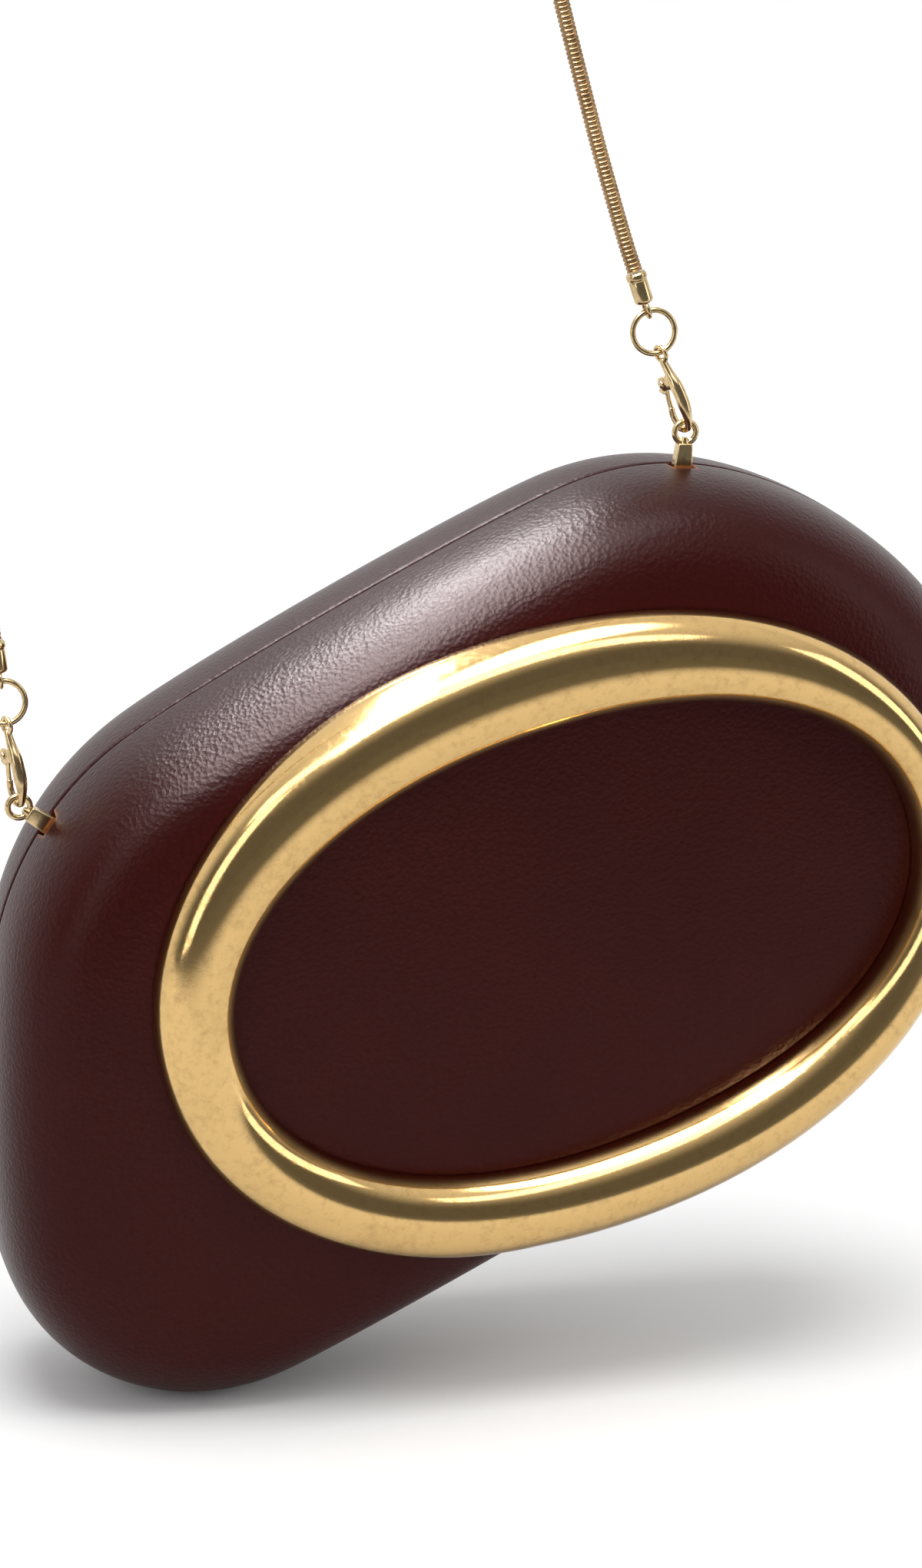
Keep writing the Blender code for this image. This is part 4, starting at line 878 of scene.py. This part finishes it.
# the inner pieces are the CAD's own meshes, and only get their finish
innerFinish = {
    core: ("front_core", "back_core"),
    steel: ("front_magnet", "back_magnet", "ring_stud", "ring_nut", "hinge_pin"),
    fittingGold: ("hinge_leaf", "hinge_screw", "post_nut", "closing_lip"),
}
for name, node in cadNodes.items():
    for finish, starts in innerFinish.items():
        if name.startswith(starts):
            for slot in node.material_slots:
                slot.material = finish
print("inner pieces finished")

# camera, floor and light: eye is the camera's distance from the bag's middle; nearSide is how bright the
# room behind the camera is in reflections, from floorEdge on the floor and sideEdge in the air up to
# bandTop; a strip's last value says whether it lights matt surfaces too
stage = {
    "eye": 0.8, "azimuth": 13.15, "elevation": 15.13, "lens": 93.45, "shift": (-0.03238, 0.08655),
    "floorSize": 6.0, "floorGap": 0.0003, "floorColour": 0.80, "floorSeen": 0.98, "floorEdge": (-0.42, -0.20),
    "world": 0.64, "nearSide": 0.15, "sideEdge": (-0.30, 0.30), "ceiling": 0.95, "bandTop": (0.35, 0.90),
    "sun": 1.55, "sunAngle": 36.0, "sunFrom": (0.0, -0.22, 1.0), "aim": (0.03, 0, -0.22),
    "strips": {
        "overheadStrip": ((-0.30, 0.04, 0.65), (1.5, 0.09), 50.0, False),
        "frontStrip": ((-0.20, -0.55, 0.55), (1.6, 0.24), 3.2, False),
        "leftStrip": ((-0.7, -0.5, 0.05), (0.25, 0.7), 1.2, True),
        "rightStrip": ((0.75, -0.35, 0.0), (0.25, 0.7), 1.2, True),
    },
}


# each layer (factor, shader) covers what is under it; the last one lies on top
def shades(tree, layers, base):
    for factor, shader in layers:
        mix = tree.nodes.new("ShaderNodeMixShader")
        tree.links.new(factor, mix.inputs["Fac"])
        tree.links.new(base, mix.inputs[1])
        tree.links.new(shader, mix.inputs[2])
        base = mix.outputs["Shader"]
    return base


def ramp(tree, value, low, high, start, end):
    made = tree.nodes.new("ShaderNodeMapRange")
    made.interpolation_type = "SMOOTHSTEP"
    for socket, number in (("From Min", low), ("From Max", high), ("To Min", start), ("To Max", end)):
        made.inputs[socket].default_value = number
    tree.links.new(value, made.inputs["Value"])
    return made.outputs["Result"]


def maths(tree, operation, first, second):
    made = tree.nodes.new("ShaderNodeMath")
    made.operation = operation
    tree.links.new(first, made.inputs[0])
    tree.links.new(second, made.inputs[1])
    return made.outputs[0]


def matt(tree, grey):
    made = tree.nodes.new("ShaderNodeBsdfDiffuse")
    made.inputs["Color"].default_value = (grey, grey, grey, 1.0)
    return made.outputs["BSDF"]


# a pale floor: the camera sees it whiter than the one that lights the bag, and both keep its shadow. What
# shiny surfaces see of it ends in front of the bag, where the dim side of the room begins
def floorMaterial():
    paint = Paint("paleFloor", (stage["floorColour"],) * 3, 0.9)
    tree = paint.tree
    rays = tree.nodes.new("ShaderNodeLightPath")
    where = tree.nodes.new("ShaderNodeTexCoord")
    axes = tree.nodes.new("ShaderNodeSeparateXYZ")
    tree.links.new(where.outputs["Object"], axes.inputs[0])
    near = ramp(tree, axes.outputs["Y"], *stage["floorEdge"], 1.0, 0.0)
    shiny = maths(tree, "MULTIPLY", near, rays.outputs["Is Glossy Ray"])
    layers = [(shiny, matt(tree, stage["nearSide"])),
              (rays.outputs["Is Camera Ray"], matt(tree, stage["floorSeen"]))]
    top = shades(tree, layers, paint.shader.outputs["BSDF"])
    tree.links.new(top, tree.nodes["Material Output"].inputs["Surface"])
    return paint.material


# camera rays see white; glossy and transmission rays see it too, but for a dim band at eye height on the
# near side, the room behind the camera; the rest get an even soft light
def whiteWorld():
    world = bpy.data.worlds.new("studio") if not bpy.data.worlds else bpy.data.worlds[0]
    bpy.context.scene.world = world
    world.use_nodes = True
    tree = world.node_tree
    nodes = tree.nodes
    where = nodes.new("ShaderNodeTexCoord")
    axes = nodes.new("ShaderNodeSeparateXYZ")
    tree.links.new(where.outputs["Generated"], axes.inputs[0])
    farSide = ramp(tree, axes.outputs["Y"], *stage["sideEdge"], stage["nearSide"], 1.0)
    above = ramp(tree, axes.outputs["Z"], *stage["bandTop"], stage["nearSide"], stage["ceiling"])
    level = maths(tree, "MAXIMUM", farSide, above)
    rays = nodes.new("ShaderNodeLightPath")
    shiny = maths(tree, "MAXIMUM", rays.outputs["Is Glossy Ray"], rays.outputs["Is Transmission Ray"])
    lights = nodes["Background"]
    room = nodes.new("ShaderNodeBackground")
    white = nodes.new("ShaderNodeBackground")
    for back, strength in ((lights, stage["world"]), (room, 1.0), (white, 1.0)):
        back.inputs["Color"].default_value = (1, 1, 1, 1)
        back.inputs["Strength"].default_value = strength
    tree.links.new(level, room.inputs["Strength"])
    layers = [(shiny, room.outputs["Background"]),
              (rays.outputs["Is Camera Ray"], white.outputs["Background"])]
    top = shades(tree, layers, lights.outputs["Background"])
    tree.links.new(top, nodes["World Output"].inputs["Surface"])


def paleFloor():
    size = stage["floorSize"]
    level = cadBox[0][2] - stage["floorGap"]
    corners = [(-size, -size, level), (size, -size, level), (size, size, level), (-size, size, level)]
    mesh = bpy.data.meshes.new("paleFloor")
    mesh.from_pydata(corners, [], [(0, 1, 2, 3)])
    mesh.materials.append(floorMaterial())
    floor = bpy.data.objects.new("paleFloor", mesh)
    bpy.context.collection.objects.link(floor)


def lamps():
    high = bpy.data.lights.new("softOverhead", "SUN")
    high.energy = stage["sun"]
    high.angle = math.radians(stage["sunAngle"])
    lamp = bpy.data.objects.new("softOverhead", high)
    lamp.rotation_euler = Vector(stage["sunFrom"]).to_track_quat("Z", "Y").to_euler()
    bpy.context.collection.objects.link(lamp)
    for name, (place, extent, power, lightsUp) in stage["strips"].items():
        data = bpy.data.lights.new(name, "AREA")
        data.shape = "RECTANGLE"
        data.size, data.size_y = extent
        data.energy = power
        strip = bpy.data.objects.new(name, data)
        strip.location = place
        strip.rotation_euler = (Vector(stage["aim"]) - Vector(place)).to_track_quat("-Z", "Y").to_euler()
        strip.visible_diffuse = lightsUp  # without it, a strip only draws a gleam on the leather and ring
        bpy.context.collection.objects.link(strip)


def photoCamera():
    az, el = math.radians(stage["azimuth"]), math.radians(stage["elevation"])
    toward = Vector((-math.sin(az) * math.cos(el), -math.cos(az) * math.cos(el), math.sin(el)))
    data = bpy.data.cameras.new("photoCamera")
    data.lens = stage["lens"]
    data.sensor_width = 36.0
    data.shift_x, data.shift_y = stage["shift"]
    camera = bpy.data.objects.new("photoCamera", data)
    camera.location = bagPlace.translation + toward * stage["eye"]
    camera.rotation_euler = (-toward).to_track_quat("-Z", "Y").to_euler()
    bpy.context.collection.objects.link(camera)
    bpy.context.scene.camera = camera


paleFloor()
whiteWorld()
lamps()
photoCamera()
print("stage set")
bpy.context.scene.view_settings.view_transform = "Standard"
